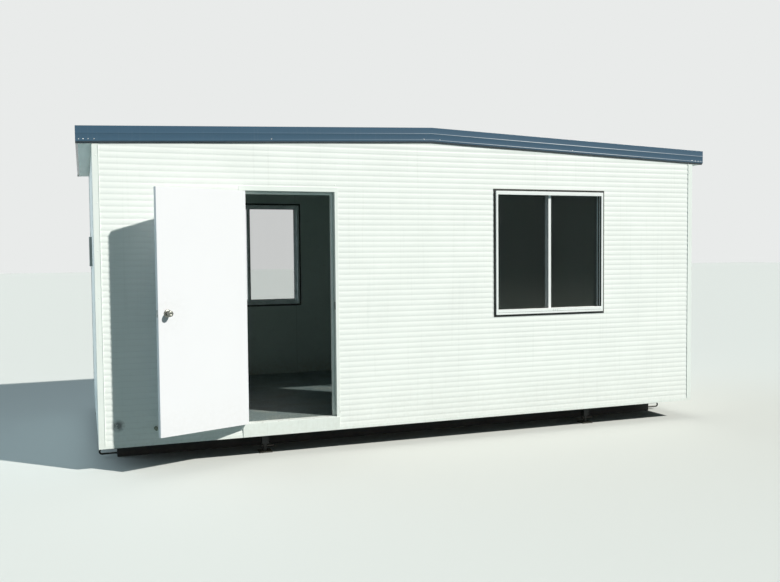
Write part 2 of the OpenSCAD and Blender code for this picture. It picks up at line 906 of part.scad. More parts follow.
module wall_vent() color("#8f9594") in_frame() {
    z0 = wall_z + vent_z;
    low = vent_y + vent_rim;
    high = vent_y + vent_w - vent_rim;
    step = (vent_w - 2 * vent_rim) / vent_blades;
    tip = blade_in - vent_proud;
    difference() {
        block([-vent_proud, vent_y, z0], [0, vent_y + vent_w, z0 + vent_w]);
        block([-vent_proud - cut, low, z0 + vent_rim], [-vent_back, high, z0 + vent_w - vent_rim]);
    }
    along_y(low, high)
        for (i = [0 : vent_blades - 1]) translate([0, z0 + vent_rim + i * step]) polygon([
            [-vent_back, step], [-vent_back, step - blade_t],
            [tip, step / 4], [tip, step / 4 + blade_t]
        ]);
}

// Rubber buffer that the open leaf would meet: radius and distance from its rounded tip, with a
// flange at the wall
stop_round = 3;
stop_flange_r = 1.5 * stop_r;
stop_flange_t = 6;
stop_points = [
    [0, 0], [stop_r - stop_round, 0], [stop_r, stop_round],
    [stop_r, stop_reach - 2 * stop_flange_t], [stop_flange_r, stop_reach - stop_flange_t],
    [stop_flange_r, stop_reach], [0, stop_reach]
];

module door_stop() color(RUBBER) in_frame()
    translate([stop_x, -stop_reach, wall_z + stop_z]) rotate([-90, 0, 0])
        rotate_extrude() polygon(stop_points);

skids();
pull_loops();
edge_beams();
floor_joists();
levelling_legs();
leg_pins();
floor_deck();
floor_vinyl();
base_channels();
front_wall_left();
front_wall_under_door();
front_wall_over_door();
front_wall_right();
rear_wall();
left_wall();
right_wall();
front_cladding();
rear_cladding();
left_cladding();
right_cladding();
corner_flashings();
roof_panel_left();
roof_panel_right();
ridge_cap();
front_barge();
rear_barge();
end_fascias();
door_jamb_hinge();
door_jamb_strike();
door_head();
door_threshold();
hinge_leaves_frame();
window_seals();
front_window_frame();
front_window_sash();
front_window_glass();
rear_window_frame();
rear_window_sash();
rear_window_glass();
wall_vent();
door_stop();
door_leaf();
hinge_leaves_door();
knob_roses();
door_knob();
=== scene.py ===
"""Looks of the portable site cabin: finishes, rivets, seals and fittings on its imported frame."""

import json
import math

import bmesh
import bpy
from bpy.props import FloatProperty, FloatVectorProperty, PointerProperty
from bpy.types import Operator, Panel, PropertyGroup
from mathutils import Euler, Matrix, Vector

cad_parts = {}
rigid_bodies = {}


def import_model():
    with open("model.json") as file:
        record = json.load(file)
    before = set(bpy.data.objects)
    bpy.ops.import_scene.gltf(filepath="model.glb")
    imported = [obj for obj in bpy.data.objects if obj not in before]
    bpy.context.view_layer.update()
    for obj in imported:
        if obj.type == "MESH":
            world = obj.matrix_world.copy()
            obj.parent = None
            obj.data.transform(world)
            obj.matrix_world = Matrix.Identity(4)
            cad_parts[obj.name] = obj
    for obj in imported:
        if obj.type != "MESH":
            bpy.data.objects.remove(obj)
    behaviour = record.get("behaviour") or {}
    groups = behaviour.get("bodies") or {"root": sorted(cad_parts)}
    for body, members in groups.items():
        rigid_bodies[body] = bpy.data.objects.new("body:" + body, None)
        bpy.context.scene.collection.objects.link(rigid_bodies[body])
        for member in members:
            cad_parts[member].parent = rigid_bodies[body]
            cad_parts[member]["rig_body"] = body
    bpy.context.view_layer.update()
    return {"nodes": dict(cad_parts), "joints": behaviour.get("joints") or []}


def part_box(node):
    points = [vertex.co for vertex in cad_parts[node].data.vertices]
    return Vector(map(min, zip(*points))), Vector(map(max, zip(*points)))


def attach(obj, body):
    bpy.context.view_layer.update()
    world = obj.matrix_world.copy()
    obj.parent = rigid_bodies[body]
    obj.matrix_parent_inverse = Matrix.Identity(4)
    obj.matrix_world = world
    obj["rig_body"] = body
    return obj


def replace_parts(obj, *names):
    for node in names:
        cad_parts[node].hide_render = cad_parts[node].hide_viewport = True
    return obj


bl_info = {
    "name": "Portable Site Cabin",
    "version": (1, 0, 0),
    "blender": (4, 5, 0),
    "location": "3D View > Sidebar > Cabin",
    "description": "Finishes a portable site cabin and sets it on a studio floor",
    "category": "Object",
}

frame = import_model()

MM = 0.001
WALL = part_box("front_cladding")
# Edges that turn further than this stay edges where faces are smoothed
SHARP = math.radians(28)
# Joints between inner skins: place of the first, spacing, half width, and where the line has faded
PANEL_JOINTS = (0.6, 1.2, 0.0015, 0.004)


# Colours and nodes

def linear(code):
    """Linear red, green and blue of an sRGB hex colour."""
    channels = [int(code[i:i + 2], 16) / 255 for i in (1, 3, 5)]
    return tuple(c / 12.92 if c <= 0.04045 else ((c + 0.055) / 1.055) ** 2.4 for c in channels)


def solid(colour):
    """A hex code or a linear colour as a linear colour with full alpha."""
    channels = linear(colour) if isinstance(colour, str) else colour
    return (*channels[:3], 1.0)


def per_mm(size):
    """Texture scale at which one cell measures a number of millimetres."""
    return 1000.0 / size


def add(tree, kind, inputs=None, out=0, **settings):
    """Adds a shader node with its settings and links, and gives one of its outputs."""
    made = tree.nodes.new("ShaderNode" + kind)
    for key, value in settings.items():
        setattr(made, key, value)
    for key, value in (inputs or {}).items():
        if isinstance(value, bpy.types.NodeSocket):
            tree.links.new(value, made.inputs[key])
        else:
            made.inputs[key].default_value = value
    return made.outputs[out] if made.outputs else None


class Finish:
    """A finish in the making: what is laid on gathers here, and done() makes the material."""

    def __init__(self, name, colour, **constants):
        self.material = bpy.data.materials.new(name)
        self.material.use_nodes = True
        self.tree = self.material.node_tree
        self.tree.nodes.clear()
        self.place = add(self.tree, "TexCoord", out="Object")
        self.relief = 0.0
        self.inputs = {key.replace("_", " "): value for key, value in constants.items()}
        self.inputs["Base Color"] = solid(colour)

    def patches(self, size, low=0.3, high=0.7, stretch=(1, 1, 1), detail=3.0):
        """Soft random patches from 0 to 1: a size in millimetres, drawn out along the axes."""
        place = add(self.tree, "Mapping", {"Vector": self.place, "Scale": [1 / s for s in stretch]})
        cloud = add(self.tree, "TexNoise", {
            "Vector": place, "Scale": per_mm(size), "Detail": detail, "Roughness": 0.55})
        return add(self.tree, "MapRange", {"Value": cloud, "From Min": low, "From Max": high})

    def along(self, axis, start, end, vector=None):
        """0 at one place along an axis, rising to 1 at another."""
        value = add(self.tree, "SeparateXYZ", {0: vector or self.place}, out=axis)
        return add(self.tree, "MapRange", {"Value": value, "From Min": start, "From Max": end})

    def facing_up(self, low, high):
        """Rises from 0 to 1 as a face's normal turns up from low to high, or down where high is
        the lower of the two."""
        return self.along("Z", low, high, add(self.tree, "TexCoord", out="Normal"))

    def lines(self, axis, first, spacing, inner, outer):
        """Parallel lines across an axis: 1 within the inner distance of each, 0 past the outer."""
        value = add(self.tree, "SeparateXYZ", {0: self.place}, out=axis)
        value = add(self.tree, "Math", {0: value, 1: first}, operation="SUBTRACT")
        away = add(self.tree, "Math", {0: value, 1: spacing / 2}, operation="PINGPONG")
        return add(self.tree, "MapRange", {"Value": away, "From Min": outer, "From Max": inner})

    def near(self, point, inner, outer):
        """1 within the inner distance of a point, 0 past the outer."""
        away = add(
            self.tree, "VectorMath", {0: self.place, 1: point}, out="Value", operation="DISTANCE")
        return add(self.tree, "MapRange", {"Value": away, "From Min": outer, "From Max": inner})

    def stain(self, colour, amount, *masks):
        """Lays a colour over the surface, as strongly as all the masks together allow."""
        cover = amount
        for mask in masks:
            cover = add(self.tree, "Math", {0: mask, 1: cover}, operation="MULTIPLY")
        tones = {0: cover, 6: self.inputs["Base Color"], 7: solid(colour)}
        self.inputs["Base Color"] = add(self.tree, "Mix", tones, out=2, data_type="RGBA")

    def gloss(self, mask, low, high):
        """Roughness that runs from low to high with a mask."""
        self.inputs["Roughness"] = add(
            self.tree, "MapRange", {"Value": mask, "To Min": low, "To Max": high})

    def press(self, mask, depth):
        """Raises the surface by a depth in millimetres where a mask is 1."""
        self.relief = add(
            self.tree, "Math", {0: mask, 1: depth, 2: self.relief}, operation="MULTIPLY_ADD")

    def road_dust(self, foot, reach, amount):
        """Dust that rises from the foot of a wall and thins out upwards."""
        height = self.along("Z", foot + reach, foot)
        self.stain("#a79c86", amount, height, self.patches(34, 0.25, 0.75, detail=6.0))

    def rain_streaks(self, amount, width=26, length=900, colour="#8d918a"):
        """Thin upright streaks that rain leaves."""
        self.stain(
            colour, amount, self.patches(width, 0.56, 0.8, (1, 1, length / width), 4.0))

    def done(self):
        """Makes the shader from all that was laid on, and gives the material."""
        if self.relief:
            self.inputs["Normal"] = add(self.tree, "Bump", {"Height": self.relief, "Distance": MM})
        shader = add(self.tree, "BsdfPrincipled", self.inputs)
        add(self.tree, "OutputMaterial", {"Surface": shader})
        return self.material


# Finishes

def paint_film(name, colour, rough, peel=None, uneven=1.0):
    """Paint on metal: even colour with faint clouds and patchy gloss. Sprayed and powder paint
    have orange peel too, of a width in millimetres, drawn coarser than it is so that it shows."""
    film = Finish(name, colour, IOR=1.5)
    film.stain([c * 0.955 for c in colour], uneven, film.patches(420))
    film.gloss(film.patches(90), rough - 0.05 * uneven, rough + 0.07 * uneven)
    if peel:
        film.press(film.patches(peel, 0.2, 0.8, detail=1.0), 0.02)
    return film


def ribbed_white(paint, sizes):
    """Ribbed steel sheet, roll-coated in white polyester: even and semi-gloss, slightly wavy, with
    dust on the ledge of each rib, which also serves as painted shade that tones down the ledges'
    highlight, thin rain streaks, road dust at its foot and one dark scuff. The grooves are filled a
    little, to the gentle wave that the real sheet shows."""
    sheet = paint_film("white_roll_coated_steel", paint.cladding, 0.36)
    # Dust on the up-facing ledge of each rib, partly painted shade that tones down the ledges'
    # highlight
    sheet.stain("#8b948e", 0.1, sheet.facing_up(0.1, 0.28))
    floor = sizes.groove / 2
    groove = sheet.lines("Z", WALL[0].z - sizes.rib_start - sizes.flank - floor, sizes.rib_pitch,
                         floor, floor + sizes.flank)
    sheet.press(groove, 0.7)
    sheet.rain_streaks(0.08)
    sheet.road_dust(WALL[0].z, 0.5, 0.14)
    scuff = sheet.near(WALL[0] + Vector(sizes.scuff), 0.02, 0.06)
    sheet.stain("#37444a", 0.85, scuff, sheet.patches(30, 0.3, 0.5, detail=5.0))
    sheet.press(sheet.patches(240, 0.2, 0.8, (2.2, 2.2, 1), 2.0), 0.4)
    return sheet.done()


def folded_white(paint):
    """Folded steel trim in the cladding's roll-coated white: semi-gloss, with rain streaks and dust
    at its foot."""
    trim = paint_film("white_folded_steel", paint.trim, 0.33)
    trim.rain_streaks(0.14, width=14)
    trim.road_dust(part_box("base_channels")[0].z, 0.35, 0.16)
    return trim.done()


def soffit_white(paint):
    """Thin steel sheet under the overhangs, roll-coated white: satin and sheltered, with only a
    little dust blown against it."""
    sheet = paint_film("white_soffit_steel", paint.trim, 0.45)
    sheet.stain("#8b8c80", 0.08, sheet.patches(70, 0.4, 0.8, detail=6.0))
    return sheet.done()


def door_skin(paint):
    """Flat steel door skin, sprayed white: smoother than the walls and a touch cooler, with faint
    hand marks round the knob and a dusty lower edge."""
    skin = paint_film("white_sprayed_door_skin", paint.door, 0.32, peel=1.6, uneven=0.25)
    hands = skin.near(joint("knob_turn")["pos_m"], 0.05, 0.24)
    skin.stain("#9b968a", 0.1, hands, skin.patches(30, 0.35, 0.75, detail=5.0))
    skin.road_dust(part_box("door_leaf")[0].z, 0.3, 0.1)
    return skin.done()


def frame_white(paint):
    """Pressed steel door frame, sprayed white: semi-gloss, rubbed grey low down, where feet and
    trolleys pass."""
    pressed = paint_film("white_pressed_steel", paint.trim, 0.34, peel=1.6)
    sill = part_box("door_threshold")[1].z
    rubs = pressed.patches(12, 0.52, 0.72, (1, 1, 4), 6.0)
    pressed.stain("#6f6f69", 0.6, pressed.along("Z", sill + 0.35, sill), rubs)
    return pressed.done()


def worn_threshold(paint):
    """Folded steel threshold, its white paint walked thin: dusty, scratched across, bare in
    spots."""
    tread = paint_film("walked_white_paint", paint.trim, 0.42)
    scratches = tread.patches(2.4, 0.6, 0.72, (1, 14, 1), 4.0)
    tread.stain("#7b7d78", 0.45, scratches)
    tread.stain("#9d978a", 0.5, tread.patches(46, 0.56, 0.68, detail=6.0))
    tread.press(scratches, 0.1)
    return tread.done()


def fascia_blue(paint):
    """Roll-formed steel, roll-coated blue-grey: it glints along its swages, is chalked and dusty on
    top, has faint runs down its face, and carries painted shade on the faces that look down, such
    as its lower fold."""
    board = paint_film("blue_roll_coated_steel", paint.fascia, 0.27)
    board.inputs["Specular IOR Level"] = 0.75
    top = board.facing_up(0.5, 0.9)
    board.gloss(top, 0.27, 0.75)
    board.stain("#8c979c", 0.35, top, board.patches(60, detail=5.0))
    # Painted shade: faces that look down, such as the lower fold, are darkened
    board.stain("#2b2f31", 0.6, board.facing_up(-0.3, -0.6))
    board.rain_streaks(0.06, width=18, length=300, colour="#79868f")
    return board.done()


def backing_coat(paint):
    """Wash coat on the back of painted steel: thin, flat, pale grey-green and a little mottled."""
    coat = paint_film("grey_backing_coat", paint.backing, 0.55)
    coat.stain("#8a8777", 0.2, coat.patches(26, 0.4, 0.8, detail=5.0))
    return coat.done()


def roof_sheet(paint):
    """Roof panel: roll-coated white steel above, chalked dull and dirty in its pans; smooth satin
    skin with panel joints as the ceiling inside."""
    panel = paint_film("white_roof_steel", paint.roof, 0.4)
    panel.stain("#8c8b80", 0.35, panel.patches(130, 0.35, 0.8, (4, 1, 1), 6.0))
    under = panel.facing_up(-0.2, -0.5)
    panel.gloss(under, 0.68, 0.42)
    panel.inputs["Specular IOR Level"] = 0.3
    panel.stain(paint.lining, 1.0, under)
    panel.stain("#8b8f8b", 0.25, under, panel.lines("X", *PANEL_JOINTS))
    return panel.done()


def lining_white(paint):
    """Flat steel skin inside the wall panels, roll-coated off-white: satin, with fine joints
    between panels, hand marks, and dust near the floor."""
    skin = paint_film("satin_lining_steel", paint.lining, 0.45)
    for axis in "XY":
        seam = skin.lines(axis, *PANEL_JOINTS)
        skin.stain("#858984", 0.4, seam)
        skin.press(seam, -0.6)
    skin.stain("#8b867a", 0.2, skin.patches(60, 0.6, 0.8, detail=6.0))
    skin.road_dust(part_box("floor_vinyl")[1].z, 0.25, 0.5)
    return skin.done()


def flecked_vinyl(paint):
    """Commercial vinyl sheet: grey with small pale and dark flecks under a satin wear layer, with
    walked-in dust and long scuffs. The flecks are about twice their real size, so that they
    show."""
    sheet = Finish("flecked_vinyl_sheet", paint.vinyl, IOR=1.5)
    flecks = add(sheet.tree, "TexVoronoi", {"Vector": sheet.place, "Scale": per_mm(5)}, out="Color")
    sheet.stain("#c3c7c2", 0.6, sheet.along("X", 0.8, 0.84, flecks))
    sheet.stain("#4b5150", 0.6, sheet.along("X", 0.2, 0.16, flecks))
    dust = sheet.patches(210, 0.42, 0.75, detail=7.0)
    sheet.stain("#a59c88", 0.35, dust)
    sheet.stain("#333634", 0.4, sheet.patches(9, 0.64, 0.74, (9, 2, 1)))
    sheet.gloss(dust, 0.32, 0.6)
    sheet.press(sheet.patches(2.5), 0.02)
    return sheet.done()


def raw_plywood():
    """Formwork plywood: warm brown face with long dark grain, rough to the touch."""
    board = Finish("raw_plywood", "#8c6f47", IOR=1.45, Roughness=0.75)
    grain = board.patches(6, stretch=(30, 1, 0.4), detail=6.0)
    board.stain("#5f4527", 1.0, grain)
    board.press(grain, 0.15)
    return board.done()


def chassis_black(paint):
    """Structural steel, brushed with flat black paint: grainy over mill scale, rusty where it is
    thin, with pale road dust on every upper face."""
    steel = paint_film("flat_black_steel", paint.chassis, 0.62, peel=3.0)
    steel.stain("#43302a", 0.22, steel.patches(40, 0.66, 0.76, detail=8.0))
    dust = steel.patches(18, detail=6.0)
    steel.stain("#8f8776", 0.7, steel.facing_up(0.2, 0.9), dust)
    steel.road_dust(0.0, 0.1, 0.08)
    steel.press(dust, 0.15)
    return steel.done()


def zinc_coat(name, spangle):
    """Zinc plate or hot-dip zinc on steel: dull silver, with white storage marks and crystal
    spangles of a width in millimetres, drawn coarse enough to show on small parts."""
    zinc = Finish(name, "#b4b8b9", Metallic=1.0)
    crystals = add(
        zinc.tree, "TexVoronoi", {"Vector": zinc.place, "Scale": per_mm(spangle)}, out="Color")
    shade = zinc.along("X", 0, 1, crystals)
    zinc.stain("#92989b", 0.8, shade)
    zinc.stain("#c9cbc8", 0.3, zinc.patches(14, 0.55, 0.75, detail=5.0))
    zinc.gloss(shade, 0.32, 0.5)
    return zinc.done()


def rusted_pin():
    """Plain steel pins, cut from bar: dark and rough, with rust in patches and dust on top."""
    pin = Finish("weathered_bar_steel", "#4b4d4a", Metallic=1.0, Roughness=0.55)
    pin.stain("#4c3a2f", 0.5, pin.patches(9, 0.45, 0.65, detail=6.0))
    pin.stain("#7d7566", 0.5, pin.facing_up(0.3, 0.9))
    return pin.done()


def handled_steel(paint):
    """Stainless steel knob, turned and satin brushed: grey with a bright rim of light, dulled where
    hands hold it."""
    steel = Finish("satin_stainless_steel", paint.knob, Metallic=1.0)
    wear = steel.patches(7, detail=6.0)
    steel.stain("#6d6f6b", 0.5, wear)
    steel.gloss(wear, 0.28, 0.44)
    return steel.done()


def rubber(name, colour="#17191a"):
    """Extruded or moulded rubber, black or grey: matt, with dust in its fine grain, which is drawn
    coarser than it is so that it shows."""
    strip = Finish(name, colour, IOR=1.5, Roughness=0.72)
    strip.stain("#57574f", 0.25, strip.patches(8, 0.35, 0.8, detail=5.0))
    strip.press(strip.patches(1.2), 0.04)
    return strip.done()


def powder_white(paint):
    """Aluminium extrusion, powder coated gloss white: a fine orange peel that breaks up highlights,
    and dust on its upper faces."""
    bar = paint_film("white_powder_coated_aluminium", paint.window, 0.26, peel=1.1)
    bar.stain("#948c7c", 0.5, bar.facing_up(0.4, 0.9), bar.patches(20, detail=6.0))
    return bar.done()


def clear_glass(paint):
    """Clear float glass: the unlit room shows dark through it and daylight shows bright, with sharp
    faint reflections, a film of dust, and a paler grey that grows over the lowest third towards the
    sill."""
    pane = Finish("clear_float_glass", paint.glass, IOR=1.52, Specular_IOR_Level=0.45, Alpha=0.16)
    low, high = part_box("front_window_glass")
    film = pane.patches(160, 0.45, 0.85, (1, 1, 2), 6.0)
    pane.stain("#6d736c", 0.1, film)
    # Paler grey over the lowest third of the pane, strongest at the sill
    pane.stain("#8b9088", 0.3, pane.along("Z", low.z + (high.z - low.z) / 3, low.z))
    pane.gloss(film, 0.02, 0.07)
    return pane.done()


def vent_grey(paint):
    """Pressed steel vent, stove enamelled grey: semi-matt, with dust lying on each blade."""
    vent = paint_film("grey_stove_enamel", paint.vent, 0.5, peel=1.6)
    vent.stain("#9a9282", 0.6, vent.facing_up(0.2, 0.8), vent.patches(15, 0.2, 0.7, detail=6.0))
    return vent.done()


def backdrop_paint(stage):
    """Studio floor, painted matt: it shows its own pale colour to the eye and in mirrors, and
    returns less light than it shows."""
    floor = Finish("studio_floor_paint", stage.floor_return, Roughness=0.9, Specular_IOR_Level=0.1)
    floor.stain(stage.floor, 1.0, seen_directly(floor.tree))
    return floor.done()


def seen_directly(tree):
    """1 where the eye, a mirror or glass shows the surface, 0 where it only lights others."""
    seen = 0.0
    for ray in ("Is Camera Ray", "Is Glossy Ray", "Is Transmission Ray"):
        path = add(tree, "LightPath", out=ray)
        seen = add(tree, "Math", {0: path, 1: seen}, operation="MAXIMUM")
    return seen


# Places on the frame

def joint(name):
    """A joint's record."""
    return next(each for each in frame["joints"] if each["name"] == name)


def corners(node, axes=Matrix()):
    """A node's corners, measured along other axes."""
    back = axes.inverted()
    return [back @ vertex.co for vertex in frame["nodes"][node].data.vertices]


def box_in(node, axes):
    """Lowest and highest corner of a node, measured along other axes."""
    points = corners(node, axes)
    low = Vector([min(p[i] for p in points) for i in range(3)])
    high = Vector([max(p[i] for p in points) for i in range(3)])
    return low, high


def ring_hole(node, axes, depth):
    """Lowest and highest corner of the hole in a ring-shaped node, at one depth along Y."""
    level = [p for p in corners(node, axes) if abs(p.y - depth) < 0.1 * MM]
    xs = sorted({round(p.x, 5) for p in level})
    zs = sorted({round(p.z, 5) for p in level})
    return Vector((xs[1], depth, zs[1])), Vector((xs[-2], depth, zs[-2]))


def spans(values, gap):
    """Lowest and highest of each group of values that a gap parts from the next."""
    values = sorted(values)
    breaks = [i for i in range(1, len(values)) if values[i] - values[i - 1] > gap]
    starts, ends = [0, *breaks], [*breaks, len(values)]
    return [(values[start], values[end - 1]) for start, end in zip(starts, ends)]


def spread(start, end, spacing):
    """Even places from start to end, about one spacing apart."""
    count = max(1, round((end - start) / spacing))
    return [start + (end - start) * i / count for i in range(count + 1)]


def facing(direction, point):
    """Matrix that turns +Z to a direction and moves it to a point."""
    turn = Vector(direction).to_track_quat("Z", "Y").to_matrix().to_4x4()
    return Matrix.Translation(point) @ turn


def door_axes():
    """Axes of the leaf as it stands open: X across it from the hinge pin, Y into its outer face."""
    pin = Vector(joint("door_hinge")["pos_m"])
    through = Vector(joint("knob_turn")["axis"])
    across = Vector((through.y, -through.x, 0))
    turn = Matrix((across, through, Vector((0, 0, 1)))).transposed().to_4x4()
    return Matrix.Translation((pin.x, pin.y, 0)) @ turn


def window_axes(side):
    """Axes of a window: X to the right as seen from the front, Y into the room, Z up, from the
    lower left corner of its frame on the cladding."""
    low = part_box(side + "_window_frame")[0]
    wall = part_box(side + "_cladding")
    if side == "front":
        return Matrix.Translation((low.x, wall[0].y, low.z))
    return Matrix.Translation((low.x, wall[1].y, low.z)) @ Matrix.Diagonal((1, -1, 1, 1))


def roof_line():
    """Highest corner of the left roof panel at its eave end, and the rise of its slope."""
    low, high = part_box("roof_panel_left")
    points = corners("roof_panel_left")
    eave = max(p.z for p in points if p.x < low.x + MM)
    ridge = max(p.z for p in points if p.x > high.x - MM)
    return Vector((low.x, 0, eave)), (ridge - eave) / (high.x - low.x)


# Shapes

def placed(name, data):
    """A new object in the scene."""
    made = bpy.data.objects.new(name, data)
    bpy.context.scene.collection.objects.link(made)
    return made


def mesh_of(shape, name="template"):
    """Turns a bmesh into a mesh."""
    mesh = bpy.data.meshes.new(name)
    shape.to_mesh(mesh)
    shape.free()
    return mesh


def show(name, shape, body, slot, *materials):
    """Turns a bmesh in the row frame into a piece that rides on a body."""
    mesh = mesh_of(shape, name)
    for material in materials:
        mesh.materials.append(material)
    piece = placed(name, mesh)
    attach(piece, body)
    return piece


def paint_node(node, material):
    """Gives a CAD node its finish."""
    slots = frame["nodes"][node].data.materials
    slots.clear()
    slots.append(material)


def copied(node):
    """A node's shape, its flat faces each in one piece."""
    flat = math.radians(0.4)
    shape = bmesh.new()
    shape.from_mesh(frame["nodes"][node].data)
    bmesh.ops.remove_doubles(shape, verts=shape.verts, dist=1e-5)
    bmesh.ops.dissolve_limit(shape, angle_limit=flat, verts=shape.verts, edges=shape.edges)
    return shape


def smooth(shape):
    """Smooths all faces of a shape, and keeps its sharp edges."""
    for face in shape.faces:
        face.smooth = True
    for edge in shape.edges:
        edge.smooth = edge.is_manifold and edge.calc_face_angle() < SHARP


def roll_formed(node, bend, slot, material):
    """Shows a copy of a ribbed sheet, the bends of its ribs rounded by a width in millimetres."""
    shape = copied(node)
    least = math.radians(10)
    bends = [edge for edge in shape.edges
             if edge.is_manifold and least < edge.calc_face_angle() < SHARP]
    bmesh.ops.bevel(
        shape, geom=bends, offset=bend * MM, segments=2, affect="EDGES", profile=0.5)
    smooth(shape)
    body = frame["nodes"][node]["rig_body"]
    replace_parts(show(node + "_rolled", shape, body, slot, material), node)


def soften(node, ease, slot, material, back=None, inward=None, segments=2):
    """Shows a copy of a node with edges eased by a radius in millimetres. Faces that look inward
    take the finish of the back."""
    shape = copied(node)
    smooth(shape)
    for face in shape.faces:
        face.material_index = 1 if inward and inward(face) else 0
    body = frame["nodes"][node]["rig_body"]
    piece = show(node + "_finished", shape, body, slot, *filter(None, (material, back)))
    edges = piece.modifiers.new("eased_edges", "BEVEL")
    edges.width = ease * MM
    edges.segments = segments
    edges.limit_method = "ANGLE"
    edges.angle_limit = SHARP
    edges.harden_normals = True
    edges.use_clamp_overlap = True
    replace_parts(piece, node)


def turned(profile, steps=20, flat=False):
    """A shape turned about Z from (radius, height) points in millimetres, both ends on the axis."""
    shape = bmesh.new()
    spine = [shape.verts.new((r * MM, 0, h * MM)) for r, h in profile]
    for one, other in zip(spine, spine[1:]):
        shape.edges.new((one, other))
    bmesh.ops.spin(
        shape, geom=shape.verts[:] + shape.edges[:], cent=(0, 0, 0), axis=(0, 0, 1),
        angle=2 * math.pi, steps=steps, use_merge=True)
    bmesh.ops.remove_doubles(shape, verts=shape.verts, dist=1e-6)
    bmesh.ops.recalc_face_normals(shape, faces=shape.faces)
    for face in shape.faces:
        face.smooth = not flat
    return shape


def slab(low, high, ease):
    """A block between two corners in metres, its edges eased by a radius in millimetres."""
    shape = bmesh.new()
    bmesh.ops.create_cube(shape, size=1)
    low, high = Vector(low), Vector(high)
    grow = Matrix.Translation((low + high) / 2) @ Matrix.Diagonal((*(high - low), 1))
    bmesh.ops.transform(shape, matrix=grow, verts=shape.verts)
    bmesh.ops.bevel(
        shape, geom=shape.edges[:], offset=ease * MM, segments=2, affect="EDGES", profile=0.5)
    return shape


def hoop(low, high, width, ease):
    """A rectangular ring in X and Z between two corners, its bars of one width, in metres."""
    x0, front, z0 = low
    x3, back, z3 = high
    x1, x2, z1, z2 = x0 + width, x3 - width, z0 + width, z3 - width
    bars = (x0, z0, x3, z1), (x0, z2, x3, z3), (x0, z1, x1, z2), (x2, z1, x3, z2)
    return joined(*(slab((left, front, foot), (right, back, top), ease)
                    for left, foot, right, top in bars))


def stamped(shape, places):
    """One shape repeated at every matrix."""
    template = mesh_of(shape)
    made = bmesh.new()
    for place in places:
        first = len(made.verts)
        made.from_mesh(template)
        made.verts.ensure_lookup_table()
        copy = made.verts[first:]
        bmesh.ops.transform(made, matrix=place, verts=copy)
        if place.determinant() < 0:
            faces = {face for vert in copy for face in vert.link_faces}
            bmesh.ops.reverse_faces(made, faces=list(faces))
    bpy.data.meshes.remove(template)
    return made


def joined(*shapes):
    """Several shapes as one."""
    made = bmesh.new()
    for shape in shapes:
        template = mesh_of(shape)
        made.from_mesh(template)
        bpy.data.meshes.remove(template)
    return made


def rivet(sizes):
    """Blind rivet: a low dome with the hole that its mandrel leaves. It starts a little below its
    seat, as the screws do."""
    r = sizes.rivet_d / MM / 2
    return turned([(0, -0.2), (r, -0.2), (r, 0.4), (r * 0.8, 1.2), (r * 0.42, 1.6),
                   (r * 0.3, 1.5), (r * 0.28, 0.7), (0, 0.7)], 14)


def hex_screw():
    """Self-drilling roof screw: rubber washer, flange and hexagon head."""
    return joined(
        turned([(0, -0.2), (8, -0.2), (8, 1.6), (6, 2.4), (0, 2.4)], 16),
        turned([(0, 2.4), (5.2, 2.4), (5.2, 7.2), (4.4, 7.8), (0, 7.8)], 6, flat=True))


def pan_screw():
    """Small pan-head screw."""
    return turned([(0, -0.2), (4, -0.2), (4, 0.5), (3.2, 1.6), (1.6, 2.1), (0, 2.2)], 14)


def sunk_screw():
    """Countersunk screw, its head almost flush and its recess turned in."""
    return turned([(0, -0.2), (4.2, -0.2), (3.8, 0.2), (1.6, 0.3), (1.2, 0.05), (0, 0.05)], 14)


# Fittings

def fold_hems():
    """Safety hem, folded over along the edge of each flashing, which stands out a little."""
    low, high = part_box("corner_flashings")
    edges = sorted({round(p.x, 5) for p in corners("corner_flashings")})
    leg = next(x for x in edges if x - low.x > 0.02) - low.x
    x, y = low.x + leg, low.y + leg
    wide, proud, deep, ease = 0.005, 0.0025, 0.001, 0.8
    foot = low.z + MM
    top = min(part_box("front_barge")[0].z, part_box("end_fascias")[0].z) - MM
    front = slab((x - wide, low.y - proud, foot), (x, low.y + deep, top), ease)
    end = slab((low.x - proud, y - wide, foot), (low.x + deep, y, top), ease)
    middle = (low + high) / 2
    centre = Matrix.Translation((middle.x, middle.y, 0))
    return stamped(joined(front, end), [
        centre @ Matrix.Diagonal((x, y, 1, 1)) @ centre.inverted()
        for x in (-1, 1) for y in (-1, 1)])


def flashing_rivets(sizes):
    """A row of rivets up both legs of each corner flashing."""
    low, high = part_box("base_channels")
    inset, above, below = 0.03, 0.06, 0.09
    foot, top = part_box("corner_flashings")[0].z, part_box("front_barge")[0].z
    places = []
    for x, out_x in ((low.x, -1), (high.x, 1)):
        for y, out_y in ((low.y, -1), (high.y, 1)):
            for z in spread(foot + above, top - below, sizes.flashing_step):
                places.append(facing((0, out_y, 0), (x - out_x * inset, y, z)))
                places.append(facing((out_x, 0, 0), (x, y - out_y * inset, z)))
    return places


def base_rivets(sizes):
    """A row of rivets along the base channel on all four sides."""
    low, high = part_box("base_channels")
    z = (low.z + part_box("corner_flashings")[0].z) / 2
    inset = 0.12
    places = []
    for y, out in ((low.y, -1), (high.y, 1)):
        for x in spread(low.x + inset, high.x - inset, sizes.base_step):
            places.append(facing((0, out, 0), (x, y, z)))
    for x, out in ((low.x, -1), (high.x, 1)):
        for y in spread(low.y + inset, high.y - inset, sizes.base_step):
            places.append(facing((out, 0, 0), (x, y, z)))
    return places


def lone_screw():
    """The one fixing that stands over the right end of the door head."""
    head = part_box("door_head")[1]
    inset, above = 0.026, 0.02
    return [facing((0, -1, 0), (head.x - inset, WALL[0].y, head.z + above))]


